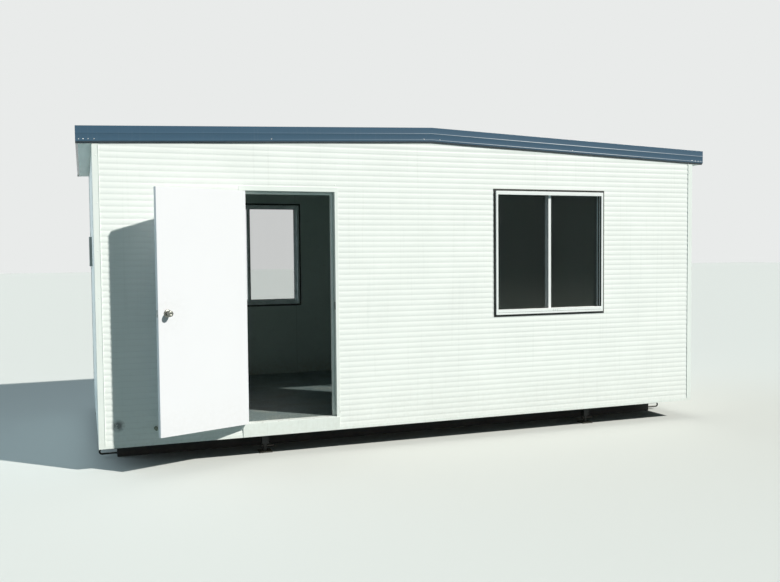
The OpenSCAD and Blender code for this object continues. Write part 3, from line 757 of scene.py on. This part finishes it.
def roof_screw_places(sizes):
    """Screws along every roof rib, and through the ridge cap's lap onto it."""
    eave, rise = roof_line()
    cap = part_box("ridge_cap")[0]
    lap, edge = 0.03, 0.15
    cap_edge = max(p.z for p in corners("ridge_cap") if p.x < cap.x + MM)
    runs = [Vector((x, 0, eave.z + rise * (x - eave.x)))
            for x in spread(eave.x + edge, cap.x - edge, sizes.roof_step)]
    runs.append(Vector((cap.x + lap, 0, cap_edge + rise * lap)))
    places = []
    for y in roof_rib_tops():
        for spot in runs:
            places.append(facing((-rise, 0, 1), (spot.x, y, spot.z)))
            places.append(facing((rise, 0, 1), (-spot.x, y, spot.z)))
    return places


def roof_rib_tops():
    """Y of the middle of each roof rib, read from the corners at the sheet's eave end."""
    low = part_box("roof_panel_left")[0]
    ends = [p for p in corners("roof_panel_left") if p.x < low.x + MM]
    top = max(p.z for p in ends)
    crests = spans([p.y for p in ends if p.z > top - MM], 0.1)
    return [(one + other) / 2 for one, other in crests]


def fit_soffits(white):
    """Thin flat sheet with its screws under each overhang, level with the fascias' lower folds."""
    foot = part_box("end_fascias")[0].z
    outer = min(p.x for p in corners("end_fascias") if foot + MM < p.z < foot + 3 * MM)
    inner = WALL[0].x - 2 * MM
    front, rear = WALL[0].y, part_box("rear_cladding")[1].y
    rise = roof_line()[1]
    lean = Matrix.Translation((0, 0, foot - rise * outer)) @ Matrix(
        ((1, 0, 0, 0), (0, 1, 0, 0), (rise, 0, 1, 0), (0, 0, 0, 1)))
    sheet = slab((outer, front, 0), (inner, rear, MM), 0.2)
    edge, end, step = 0.012, 0.08, 0.57
    screws = [facing((0, 0, -1), (x, y, 0)) for x in (outer + edge, inner - edge)
              for y in spread(front + end, rear - end, step)]
    both = [lean, Matrix.Diagonal((-1, 1, 1, 1)) @ lean]
    shape = stamped(joined(sheet, stamped(pan_screw(), screws)), both)
    show("soffit_sheets", shape, "cabin", "white_trim", white)


def fascia_rivet_places(sizes):
    """Four rivets close together at each end of a board, and a row along it."""
    low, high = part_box("front_barge")
    rise = roof_line()[1]
    front = min(p.y for p in corners("front_barge") if p.z > high.z - MM)
    rear = low.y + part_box("rear_barge")[1].y - front
    at_end = [WALL[0].x + step for step in (-0.098, -0.064, -0.026, 0.02)]
    places = []
    for x in at_end + spread(WALL[0].x + 1.48, -0.08, sizes.fascia_step):
        z = low.z + rise * (x - low.x) + sizes.fascia_rivet_z
        for mirror in (-1, 1):
            places.append(facing((0, -1, 0), (mirror * x, front, z)))
            places.append(facing((0, 1, 0), (mirror * x, rear, z)))
    return places


def fold_apron():
    """Thin apron folded down from the threshold's nosing to the foot of the wall, where it
    stands out half as far."""
    low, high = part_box("door_threshold")
    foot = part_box("base_channels")[0].z
    lap = 2 * MM
    apron = slab((low.x, low.y, foot), (high.x, WALL[0].y + lap, low.z + lap), 0.6)
    lean = (WALL[0].y - low.y) / 2 / (low.z - foot)
    for vert in apron.verts:
        if vert.co.y < WALL[0].y:
            vert.co.y += lean * max(0, low.z - vert.co.z)
    trim = bpy.data.materials["white_folded_steel"]
    show("threshold_apron", apron, "cabin", "white_trim", trim)


def rebate(node, away):
    """X of the face that a jamb turns to the leaf's edge, and Y of its stop. The jamb's body lies
    to the side that away points to."""
    points = corners(node)
    front = min(p.y for p in points)
    stop_x = min(away * p.x for p in points)
    edge_x = away * min(away * p.x for p in points if p.y < front + MM)
    return edge_x, min(p.y for p in points if away * p.x < stop_x + MM)


def fit_strike_plate():
    """Plate with a hole for the latch, and the dark box behind it."""
    edge_x, stop_y = rebate("door_jamb_strike", 1)
    y = (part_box("door_jamb_strike")[0].y + stop_y) / 2
    z = joint("knob_turn")["pos_m"][2]
    axes = Matrix.Translation((edge_x, y, z)) @ Matrix.Rotation(math.pi / 2, 4, "Z")
    half_w, half_h, bar = 0.014, 0.035, 0.0075
    thick, seat, sunk = 0.0014, 0.0012, 0.0006
    plate = hoop((-half_w, 0, -half_h), (half_w, thick, half_h), bar, 0.3)
    screws = [facing((0, 1, 0), (0, seat, side * (half_h - bar / 2))) for side in (-1, 1)]
    plate = stamped(joined(plate, stamped(sunk_screw(), screws)), [axes])
    show("strike_plate", plate, "cabin", "galvanised", zinc_coat("zinc_plated_strike", 6))
    box = slab((bar - half_w, -MM, bar - half_h), (half_w - bar, sunk, half_h - bar), 0.2)
    black = rubber("moulded_dust_box")
    show("strike_box", stamped(box, [axes]), "cabin", "rubber", black)


def fit_seal(width):
    """Seal against the stop, up both jambs and along the head."""
    left, stop_y = rebate("door_jamb_hinge", -1)
    right = rebate("door_jamb_strike", 1)[0]
    low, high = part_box("door_jamb_hinge")
    inset, deep, ease = 0.004, 0.004, 0.8
    left, right, top = left + inset, right - inset, high.z - inset
    front = stop_y - deep
    strips = joined(
        slab((left, front, low.z), (left + width, stop_y, top), ease),
        slab((right - width, front, low.z), (right, stop_y, top), ease),
        slab((left + width, front, top - width), (right - width, stop_y, top), ease))
    show("door_seal", strips, "cabin", "rubber", rubber("extruded_grey_seal", "#b9bfbb"))


def screw_hinges(node, body, axes, out, zinc):
    """Three countersunk screws in the part of each plate that both leaves leave clear."""
    points = corners(node, axes)
    inset = 0.008
    back = max(p.y for p in points)
    face = max(out * p.x for p in points if p.y > back - MM) * out
    places = []
    for foot, top in spans([p.z for p in points], 0.2):
        for share in (0.12, 0.5, 0.88):
            spot = (face, back - inset, foot + share * (top - foot))
            places.append(axes @ facing((out, 0, 0), spot))
    show(node + "_screws", stamped(sunk_screw(), places), body, "galvanised", zinc)


def turn_knobs(axes, steel):
    """Round knobs on a neck, with a lock button in the dish of each. Sizes are in millimetres,
    from the middle of the leaf."""
    low, high = box_in("door_knob", axes)
    leaf = box_in("door_leaf", axes)
    middle = (low + high) / 2
    r = (high.x - low.x) / 2 / MM
    tip = (high.y - low.y) / 2 / MM
    face = (leaf[1].y - leaf[0].y) / 2 / MM
    dish = 1.2
    outline = [(0, tip - dish), (r * 0.3, tip - dish), (r * 0.34, tip - 0.1)]
    for share_r, share_y in ((0.6, 1.0), (0.84, 0.96), (0.95, 0.88), (1.0, 0.7), (0.96, 0.56),
                             (0.72, 0.42), (0.44, 0.3), (0.42, 0.12)):
        outline.append((r * share_r, face + (tip - face) * share_y))
    outline += [(r * 0.42, face - 2), (0, face - 2)]
    half_w, half_h, proud = 0.009, 0.0016, 0.4
    button = slab(
        (-half_w, -half_h, (tip - dish) * MM), (half_w, half_h, (tip + proud) * MM), 0.3)
    sides = [axes @ Matrix.Translation(middle) @ Matrix.Rotation(side * math.pi / 2, 4, "X")
             for side in (-1, 1)]
    knobs = stamped(joined(turned(outline, 32), button), sides)
    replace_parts(show("knob_pair", knobs, "knob", "knob_metal", steel), "door_knob")


def turn_roses(axes, steel):
    """Round cover plates between knobs and leaf."""
    low, high = box_in("knob_roses", axes)
    leaf = box_in("door_leaf", axes)
    middle = (low + high) / 2
    r = (high.x - low.x) / 2 / MM
    rise = (leaf[0].y - low.y) / MM
    outline = [
        (0, rise - 1.6), (r * 0.45, rise - 1.4), (r * 0.5, rise), (r * 0.72, rise * 0.92),
        (r * 0.93, rise * 0.5), (r, rise * 0.12), (r, -0.1), (0, -0.1)]
    sides = [axes @ facing((0, out, 0), (middle.x, y, middle.z))
             for y, out in ((leaf[0].y, -1), (leaf[1].y, 1))]
    roses = stamped(turned(outline, 32), sides)
    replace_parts(show("rose_pair", roses, "door", "knob_metal", steel), "knob_roses")


def fit_latch(axes, zinc):
    """Latch plate and bolt in the leaf's free edge."""
    low, high = box_in("door_leaf", axes)
    y = (low.y + high.y) / 2
    z = joint("knob_turn")["pos_m"][2]
    plate, bolt = (
        slab((high.x, y - half_w, z - half_h), (high.x + out, y + half_w, z + half_h), ease)
        for half_w, half_h, out, ease in (
            (0.0125, 0.029, 0.0015, 0.5), (0.006, 0.008, 0.0035, 1.0)))
    seat, step = 0.0013, 0.022
    screws = [facing((1, 0, 0), (high.x + seat, y, z + side * step)) for side in (-1, 1)]
    shape = stamped(joined(plate, bolt, stamped(sunk_screw(), screws)), [axes])
    show("latch_plate", shape, "door", "galvanised", zinc)


def fit_gaskets_and_shade_strips(side, axes, width, black):
    """Rubber round both panes, where the frame and the sash hold them, and two black strips of
    painted shade: one in the outer track's empty half, one along the sash's closing stile."""
    points = corners(side + "_window_glass", axes)
    front = box_in(side + "_window_frame", axes)[0].y
    behind, inside = (corner.y for corner in box_in(side + "_window_sash", axes))
    low, high = ring_hole(side + "_window_frame", axes, front)
    sash_low, sash_high = ring_hole(side + "_window_sash", axes, inside)
    fixed, sliding = spans([p.y for p in points], 0.01)
    right = max(p.x for p in points if p.y < fixed[1] + MM)
    frame_lip, sash_lip, track_shade_w, stile_shade_w, stile_shade_d = 0.003, 0.005, 0.003, 0.014, 0.0015
    inset, ease = 2 * MM, 0.6
    gap = behind - front - inset
    shapes = joined(
        hoop((low.x, fixed[0] - frame_lip, low.z), (right, fixed[0], high.z), width, ease),
        hoop((sash_low.x, sliding[0] - sash_lip, sash_low.z),
             (sash_high.x, sliding[0], sash_high.z), width, ease),
        # Painted shade: black strip in the outer track's empty half
        slab((high.x - track_shade_w, front + inset, low.z),
             (high.x, front + inset + 0.7 * gap, high.z), ease),
        # Painted shade: black strip along the sash's closing stile
        slab((sash_high.x, behind - stile_shade_d, sash_low.z),
             (sash_high.x + stile_shade_w, behind, sash_high.z), 0.5))
    shape = stamped(shapes, [axes])
    show(side + "_gaskets", shape, "cabin", "rubber", black)


def fit_weep_holes(side, axes, black):
    """Three small drain holes right of the middle, drawn as black discs that paint the shade inside
    them, and a thin black line along the sill at about half its height.
    """
    low, high = box_in(side + "_window_frame", axes)
    sill = ring_hole(side + "_window_frame", axes, low.y)[0]
    middle = (low.x + high.x) / 2
    # Black disc: painted shade inside a drain hole
    hole = turned([(0, -0.5), (3, -0.5), (3, 0.3), (0, 0.3)], 12)
    spots = [facing((0, -1, 0), (middle + step, low.y, 0.64 * sill.z))
             for step in (0.025, 0.05, 0.075)]
    # Thin black strip along the sill at about half its height
    line = slab((sill.x, low.y - 0.3 * MM, 0.5 * sill.z),
                (high.x - sill.x, low.y, 0.53 * sill.z), 0.1)
    shape = stamped(joined(stamped(hole, spots), line), [axes])
    show(side + "_weep_holes", shape, "cabin", "rubber", black)


def fit_catch(side, axes, white):
    """Low catch on the inner face of the sash's meeting stile."""
    low, high = box_in(side + "_window_sash", axes)
    x = (low.x + ring_hole(side + "_window_sash", axes, high.y)[0].x) / 2
    y, z = high.y, low.z + 0.4 * (high.z - low.z)
    body, thumb = (
        slab((x - half_w, y + back, z - half_h), (x + half_w, y + out, z + half_h), ease)
        for half_w, half_h, back, out, ease in (
            (0.009, 0.045, -0.0005, 0.007, 2.5), (0.006, 0.012, 0.006, 0.014, 2.0)))
    show(side + "_catch", stamped(joined(body, thumb), [axes]), "cabin", "window_white", white)


def screw_flange(side, axes, white):
    """Screws round the inner flange, which holds the window to the lining."""
    low, high = box_in(side + "_window_frame", axes)
    hole = ring_hole(side + "_window_frame", axes, high.y)
    step = 0.35
    x0, x1 = (low.x + hole[0].x) / 2, (high.x + hole[1].x) / 2
    z0, z1 = (low.z + hole[0].z) / 2, (high.z + hole[1].z) / 2
    edges = [(x, z) for x in spread(x0, x1, step) for z in (z0, z1)]
    edges += [(x, z) for x in (x0, x1) for z in spread(z0, z1, step)[1:-1]]
    places = [axes @ facing((0, 1, 0), (x, high.y, z)) for x, z in edges]
    show(side + "_flange_screws", stamped(pan_screw(), places), "cabin", "window_white", white)


def cut_threads(black):
    """Screw thread on the stem of each leg, and the nut under its tube, in millimetres. The thread
    is a row of ridges, coarse enough to show."""
    stem_r, ridge, top, foot, pitch = 16.0, 1.4, 75.0, 12.0, 4.0
    outline = [(0, foot)]
    for i in range(int((top - foot) / pitch)):
        z = foot + i * pitch
        outline += [(stem_r, z), (stem_r + ridge, z + pitch / 2)]
    outline += [(stem_r, top), (0, top)]
    nut = turned([(0, 58), (24, 58), (24, 74), (0, 74)], 6, flat=True)
    feet = [p for p in corners("levelling_legs") if p.z < MM]
    places = [Matrix.Translation(((x0 + x1) / 2, (y0 + y1) / 2, 0))
              for x0, x1 in spans([p.x for p in feet], 0.5)
              for y0, y1 in spans([p.y for p in feet], 0.5)]
    shape = stamped(joined(turned(outline, 20), nut), places)
    show("leg_threads", shape, "cabin", "chassis_steel", black)


def weld_loops(black):
    """Weld beads where the pull loops meet the skids' end plates."""
    low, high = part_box("skids")
    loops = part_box("pull_loops")
    bar_r = 0.008
    bead = turned([(0, -1), (11, -1), (12.5, 1.2), (10.5, 3.6), (8.2, 5), (0, 5)], 18)
    places = []
    for x, out in ((low.x, -1), (high.x, 1)):
        for y in (loops[0].y + bar_r, loops[1].y - bar_r):
            for z in (loops[0].z + bar_r, loops[1].z - bar_r):
                places.append(facing((out, 0, 0), (x, y, z)))
    show("loop_welds", stamped(bead, places), "cabin", "chassis_steel", black)


# Stage

def make_floor(stage):
    """Level floor, wide enough to reach the horizon as seen."""
    ends = (-90.0, 90.0)
    mesh = bpy.data.meshes.new("studio_floor")
    mesh.from_pydata([(x, y, 0) for y in ends for x in ends], [], [(0, 1, 3, 2)])
    mesh.materials.append(backdrop_paint(stage))
    ground = placed("studio_floor", mesh)


def make_light(stage):
    """Key light: one bright lamp, far off, with a faintly warm tone."""
    key = bpy.data.lights.new("key_light", "SUN")
    key.energy = stage.sun_strength
    key.angle = stage.sun_spread
    key.color = linear("#fffdf6")
    lamp = placed("key_light", key)
    lamp.rotation_euler = Vector(stage.sun_from).to_track_quat("Z", "Y").to_euler()


def make_surroundings(stage):
    """A plain backdrop to the eye, which lights the cabin with a faint fill from all round and a
    soft screen on one side. The screen fades out where its cosine falls to its edge."""
    edge = 0.55
    world = bpy.data.worlds.new("studio")
    world.use_nodes = True
    tree = world.node_tree
    tree.nodes.clear()
    ray = add(tree, "TexCoord", out="Generated")
    toward = add(tree, "VectorMath", {0: ray, 1: Vector(stage.screen_from).normalized()},
                 out="Value", operation="DOT_PRODUCT")
    level = add(tree, "MapRange", {
        "Value": toward, "From Min": edge, "From Max": 1.0, "To Min": stage.fill_strength,
        "To Max": stage.screen_strength})
    fill = add(tree, "Background", {"Color": solid(stage.fill), "Strength": level})
    backdrop = add(tree, "Background", {"Color": solid(stage.backdrop)})
    mixed = add(tree, "MixShader", {0: seen_directly(tree), 1: fill, 2: backdrop})
    add(tree, "OutputWorld", {"Surface": mixed})
    return world


def make_camera(stage):
    """Camera on a full-frame sensor, placed from the foot of the front wall's left corner."""
    camera = bpy.data.cameras.new("camera")
    camera.lens = stage.lens
    camera.sensor_width = 36
    camera.clip_end = 400
    eye = placed("camera", camera)
    eye.location = WALL[0] + Vector(stage.camera_from_corner)
    aim = Euler((math.pi / 2 - stage.dip, 0, -stage.heading)).to_matrix()
    eye.rotation_euler = (aim @ Matrix.Rotation(-stage.roll, 3, "Z")).to_euler()
    return eye


# Properties

def setting(name, description, default, **kind):
    """Property for the user: a colour where the default is a hex code, else a vector or number."""
    if isinstance(default, str):
        default = linear(default)
        kind = {"subtype": "COLOR", "min": 0, "max": 1}
    make = FloatVectorProperty if isinstance(default, tuple) else FloatProperty
    return make(name=name, description=description, default=default, **kind)


class CabinPaint(PropertyGroup):
    cladding: setting("Cladding", "White of the ribbed walls", "#f7fbf8")
    trim: setting("Trim", "White of flashings, base channel and door frame", "#f1f7f3")
    door: setting("Door", "White of the door leaf", "#e6e6ea")
    window: setting("Window", "White of the window frames", "#f5f9f8")
    roof: setting("Roof", "White of the roof panels, chalked by the weather", "#d5dad4")
    fascia: setting("Fascia", "Blue-grey of the fascia boards", "#284f68")
    backing: setting("Backing coat", "Back of the painted sheets", "#f0f5f0")
    lining: setting("Lining", "Inner skin of walls and ceiling", "#c6d2cc")
    vinyl: setting("Vinyl", "Floor covering", "#667a7c")
    chassis: setting("Chassis", "Black of the steel under the floor", "#0f1515")
    vent: setting("Vent", "Grey of the wall vent", "#a6adaa")
    knob: setting("Knob", "Steel of the door knobs", "#868780")
    glass: setting("Glass", "Body tint of the window glass", "#101715")


class CabinSizes(PropertyGroup):
    scuff: setting("Scuff", "Dark scuff, from the foot of the front wall's left corner",
                   (0.153, 0, 0.185), subtype="TRANSLATION")
    rib_pitch: setting("Rib pitch", "Distance between ribs", 0.0498, unit="LENGTH")
    rib_start: setting(
        "Rib start", "How far below the wall's foot the rib pattern starts", 0.026, unit="LENGTH")
    groove: setting("Groove", "Width of a groove's floor", 0.01, unit="LENGTH")
    flank: setting("Flank", "Width of a rib's sloping side", 0.007, unit="LENGTH")
    rivet_d: setting("Rivet head", "Diameter of a rivet head", 0.0095, unit="LENGTH")
    flashing_step: setting(
        "Flashing rivets", "Distance between flashing rivets", 0.4, unit="LENGTH")
    base_step: setting(
        "Base rivets", "Distance between rivets of the base channel", 0.5, unit="LENGTH")
    fascia_step: setting("Fascia rivets", "Distance between fascia rivets", 1.45, unit="LENGTH")
    fascia_rivet_z: setting(
        "Fascia rivet height", "Rivets above the fascia's lower edge", 0.035, unit="LENGTH")
    roof_step: setting(
        "Roof screws", "Distance between screws along a roof rib", 0.9, unit="LENGTH")
    gasket: setting("Glazing gasket", "Width of the rubber round the glass", 0.005, unit="LENGTH")
    seal: setting("Door seal", "Width of the seal in the door frame", 0.006, unit="LENGTH")


class CabinStage(PropertyGroup):
    sun_from: setting("Key light", "Direction that the key light comes from",
                      (1.045, -1.0, 1.13), subtype="DIRECTION")
    sun_strength: setting("Key strength", "Strength of the key light", 4.75)
    sun_spread: setting(
        "Key softness", "Angle across the key light", math.radians(1.3), unit="ROTATION")
    fill_strength: setting("Fill strength", "Strength of the light from all round", 0.145)
    fill: setting("Fill", "Colour of the light from all round", "#d2ecf8")
    screen_from: setting("Screen", "Direction of the soft pale screen behind the cabin",
                         (-0.8, 0.6, 0.15), subtype="DIRECTION")
    screen_strength: setting("Screen strength", "Strength of the light from the screen", 2.7)
    backdrop: setting("Backdrop", "Colour of the backdrop as seen", "#e9ebea")
    floor: setting("Floor", "Colour of the floor as seen", "#d0d2cf")
    floor_return: setting(
        "Floor return", "Colour of the light that the floor returns", "#5c7070")
    lens: setting("Lens", "Focal length in millimetres", 38.51)
    camera_from_corner: setting(
        "Camera place", "From the foot of the front wall's left corner",
        (-0.0855, -7.248, 1.5995), subtype="TRANSLATION")
    heading: setting(
        "Heading", "Turn to the right of straight ahead", math.radians(20.152), unit="ROTATION")
    dip: setting("Dip", "Tilt below the horizon", math.radians(2.583), unit="ROTATION")
    roll: setting("Roll", "Clockwise roll", math.radians(0.519), unit="ROTATION")


# Operators

class SITECABIN_OT_stage(Operator):
    """Sets the floor, the lights and the camera"""
    bl_idname = "sitecabin.stage"
    bl_label = "Stage"

    def execute(self, context):
        scene = context.scene
        make_floor(scene.cabin_stage)
        make_light(scene.cabin_stage)
        scene.world = make_surroundings(scene.cabin_stage)
        scene.camera = make_camera(scene.cabin_stage)
        scene.view_settings.view_transform = "Standard"
        return {"FINISHED"}


class SITECABIN_OT_cladding(Operator):
    """Finishes the ribbed walls, the flashings and the base channel, and adds their rivets"""
    bl_idname = "sitecabin.cladding"
    bl_label = "Cladding and trim"

    def execute(self, context):
        paint, sizes = context.scene.cabin_paint, context.scene.cabin_sizes
        ribbed = ribbed_white(paint, sizes)
        for side in ("front", "rear", "left", "right"):
            roll_formed(side + "_cladding", 3.3, "white_cladding", ribbed)
        trim = folded_white(paint)
        paint_node("corner_flashings", trim)
        paint_node("base_channels", trim)
        places = flashing_rivets(sizes) + base_rivets(sizes) + lone_screw()
        show("trim_rivets", stamped(rivet(sizes), places), "cabin", "white_trim", trim)
        show("flashing_hems", fold_hems(), "cabin", "white_trim", trim)
        return {"FINISHED"}


class SITECABIN_OT_roof(Operator):
    """Finishes the roof panels and the ridge cap, and adds their screws"""
    bl_idname = "sitecabin.roof"
    bl_label = "Roof"

    def execute(self, context):
        paint, sizes = context.scene.cabin_paint, context.scene.cabin_sizes
        sheet = roof_sheet(paint)
        paint_node("roof_panel_left", sheet)
        paint_node("roof_panel_right", sheet)
        paint_node("ridge_cap", fascia_blue(paint))
        steel = zinc_coat("zinc_plated_screws", 4)
        shape = stamped(hex_screw(), roof_screw_places(sizes))
        show("roof_screws", shape, "cabin", "galvanised", steel)
        return {"FINISHED"}


class SITECABIN_OT_fascias(Operator):
    """Finishes the fascia boards and adds their rivets"""
    bl_idname = "sitecabin.fascias"
    bl_label = "Fascias"

    def execute(self, context):
        paint, sizes = context.scene.cabin_paint, context.scene.cabin_sizes
        blue, back = fascia_blue(paint), backing_coat(paint)
        least = 0.3  # Faces whose normal leans in further than this have the backing coat
        inward = {
            "front_barge": lambda face: face.normal.y > least,
            "rear_barge": lambda face: face.normal.y < -least,
            "end_fascias": lambda face: face.normal.x * face.calc_center_median().x < -least,
        }
        for node, looks_in in inward.items():
            soften(node, 2.6, "blue_steel", blue, back, looks_in, segments=3)
        steel = zinc_coat("aluminium_rivets", 30)
        shape = stamped(rivet(sizes), fascia_rivet_places(sizes))
        show("fascia_rivets", shape, "cabin", "galvanised", steel)
        fit_soffits(soffit_white(paint))
        return {"FINISHED"}


class SITECABIN_OT_doorway(Operator):
    """Finishes the door frame and the threshold, and adds the seal and the strike plate"""
    bl_idname = "sitecabin.doorway"
    bl_label = "Doorway"

    def execute(self, context):
        paint, sizes = context.scene.cabin_paint, context.scene.cabin_sizes
        white = frame_white(paint)
        for node in ("door_jamb_hinge", "door_jamb_strike", "door_head"):
            soften(node, 1.2, "door_white", white)
        soften("door_threshold", 1.5, "threshold", worn_threshold(paint))
        fold_apron()
        fit_strike_plate()
        fit_seal(sizes.seal)
        return {"FINISHED"}


class SITECABIN_OT_door(Operator):
    """Finishes the door leaf, its hinges, its knobs and its latch"""
    bl_idname = "sitecabin.door"
    bl_label = "Door"

    def execute(self, context):
        paint = context.scene.cabin_paint
        axes = door_axes()
        soften("door_leaf", 1.6, "door_white", door_skin(paint), segments=3)
        zinc = zinc_coat("zinc_plated_hinges", 7)
        paint_node("hinge_leaves_frame", zinc)
        paint_node("hinge_leaves_door", zinc)
        screw_hinges("hinge_leaves_frame", "cabin", Matrix(), 1, zinc)
        screw_hinges("hinge_leaves_door", "door", axes, -1, zinc)
        steel = handled_steel(paint)
        turn_knobs(axes, steel)
        turn_roses(axes, steel)
        fit_latch(axes, zinc)
        return {"FINISHED"}


class SITECABIN_OT_windows(Operator):
    """Finishes both sliding windows, and adds gaskets, black strips of painted shade, weep holes,
    screws and catches
    """
    bl_idname = "sitecabin.windows"
    bl_label = "Windows"

    def execute(self, context):
        paint, sizes = context.scene.cabin_paint, context.scene.cabin_sizes
        white, glass = powder_white(paint), clear_glass(paint)
        # Black rubber of seals and gaskets; the same black also paints the shade in the empty
        # tracks, along the sash stiles and inside the drain holes
        black = rubber("extruded_black_rubber")
        paint_node("window_seals", black)
        for side in ("front", "rear"):
            axes = window_axes(side)
            soften(side + "_window_frame", 1.5, "window_white", white)
            soften(side + "_window_sash", 1.5, "window_white", white)
            paint_node(side + "_window_glass", glass)
            fit_gaskets_and_shade_strips(side, axes, sizes.gasket, black)
            fit_weep_holes(side, axes, black)
            fit_catch(side, axes, white)
            screw_flange(side, axes, white)
        return {"FINISHED"}


class SITECABIN_OT_interior(Operator):
    """Finishes the inner walls and the floor"""
    bl_idname = "sitecabin.interior"
    bl_label = "Interior"

    def execute(self, context):
        paint = context.scene.cabin_paint
        lining = lining_white(paint)
        for node in ("front_wall_left", "front_wall_under_door", "front_wall_over_door",
                     "front_wall_right", "rear_wall", "left_wall", "right_wall"):
            paint_node(node, lining)
        paint_node("floor_vinyl", flecked_vinyl(paint))
        paint_node("floor_deck", raw_plywood())
        return {"FINISHED"}


class SITECABIN_OT_chassis(Operator):
    """Finishes the steel under the floor, and adds leg threads, nuts and weld beads"""
    bl_idname = "sitecabin.chassis"
    bl_label = "Chassis"

    def execute(self, context):
        black = chassis_black(context.scene.cabin_paint)
        for node, ease in (("skids", 2.5), ("edge_beams", 1.0), ("floor_joists", 1.0),
                           ("levelling_legs", 1.5)):
            soften(node, ease, "chassis_steel", black)
        paint_node("pull_loops", black)
        paint_node("leg_pins", rusted_pin())
        cut_threads(black)
        weld_loops(black)
        return {"FINISHED"}


class SITECABIN_OT_vent(Operator):
    """Finishes the wall vent and the door stop, and adds the vent's screws"""
    bl_idname = "sitecabin.vent"
    bl_label = "Vent and door stop"

    def execute(self, context):
        grey = vent_grey(context.scene.cabin_paint)
        soften("wall_vent", 0.8, "vent_grey", grey)
        paint_node("door_stop", rubber("moulded_grey_rubber", "#858c7b"))
        low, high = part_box("wall_vent")
        inset = 0.009
        places = [facing((-1, 0, 0), (low.x, y, z))
                  for y in (low.y + inset, high.y - inset) for z in (low.z + inset, high.z - inset)]
        show("vent_screws", stamped(pan_screw(), places), "cabin", "vent_grey", grey)
        return {"FINISHED"}


class SITECABIN_PT_panel(Panel):
    """Lists the cabin's steps, colours and sizes"""
    bl_idname = "SITECABIN_PT_panel"
    bl_label = "Site Cabin"
    bl_space_type = "VIEW_3D"
    bl_region_type = "UI"
    bl_category = "Cabin"

    def draw(self, context):
        for step in STEPS:
            self.layout.operator(step.bl_idname)
        scene = context.scene
        for group in (scene.cabin_paint, scene.cabin_sizes, scene.cabin_stage):
            box = self.layout.box()
            for name in group.__annotations__:
                box.prop(group, name)


STEPS = (
    SITECABIN_OT_stage, SITECABIN_OT_cladding, SITECABIN_OT_roof, SITECABIN_OT_fascias,
    SITECABIN_OT_doorway, SITECABIN_OT_door, SITECABIN_OT_windows, SITECABIN_OT_interior,
    SITECABIN_OT_chassis, SITECABIN_OT_vent,
)
CLASSES = (CabinPaint, CabinSizes, CabinStage, *STEPS, SITECABIN_PT_panel)


def register():
    for each in CLASSES:
        bpy.utils.register_class(each)
    bpy.types.Scene.cabin_paint = PointerProperty(type=CabinPaint)
    bpy.types.Scene.cabin_sizes = PointerProperty(type=CabinSizes)
    bpy.types.Scene.cabin_stage = PointerProperty(type=CabinStage)


def unregister():
    del bpy.types.Scene.cabin_stage
    del bpy.types.Scene.cabin_sizes
    del bpy.types.Scene.cabin_paint
    for each in reversed(CLASSES):
        bpy.utils.unregister_class(each)


def main():
    register()
    for step in STEPS:
        group, name = step.bl_idname.split(".")
        getattr(getattr(bpy.ops, group), name)()


if __name__ == "__main__":
    main()
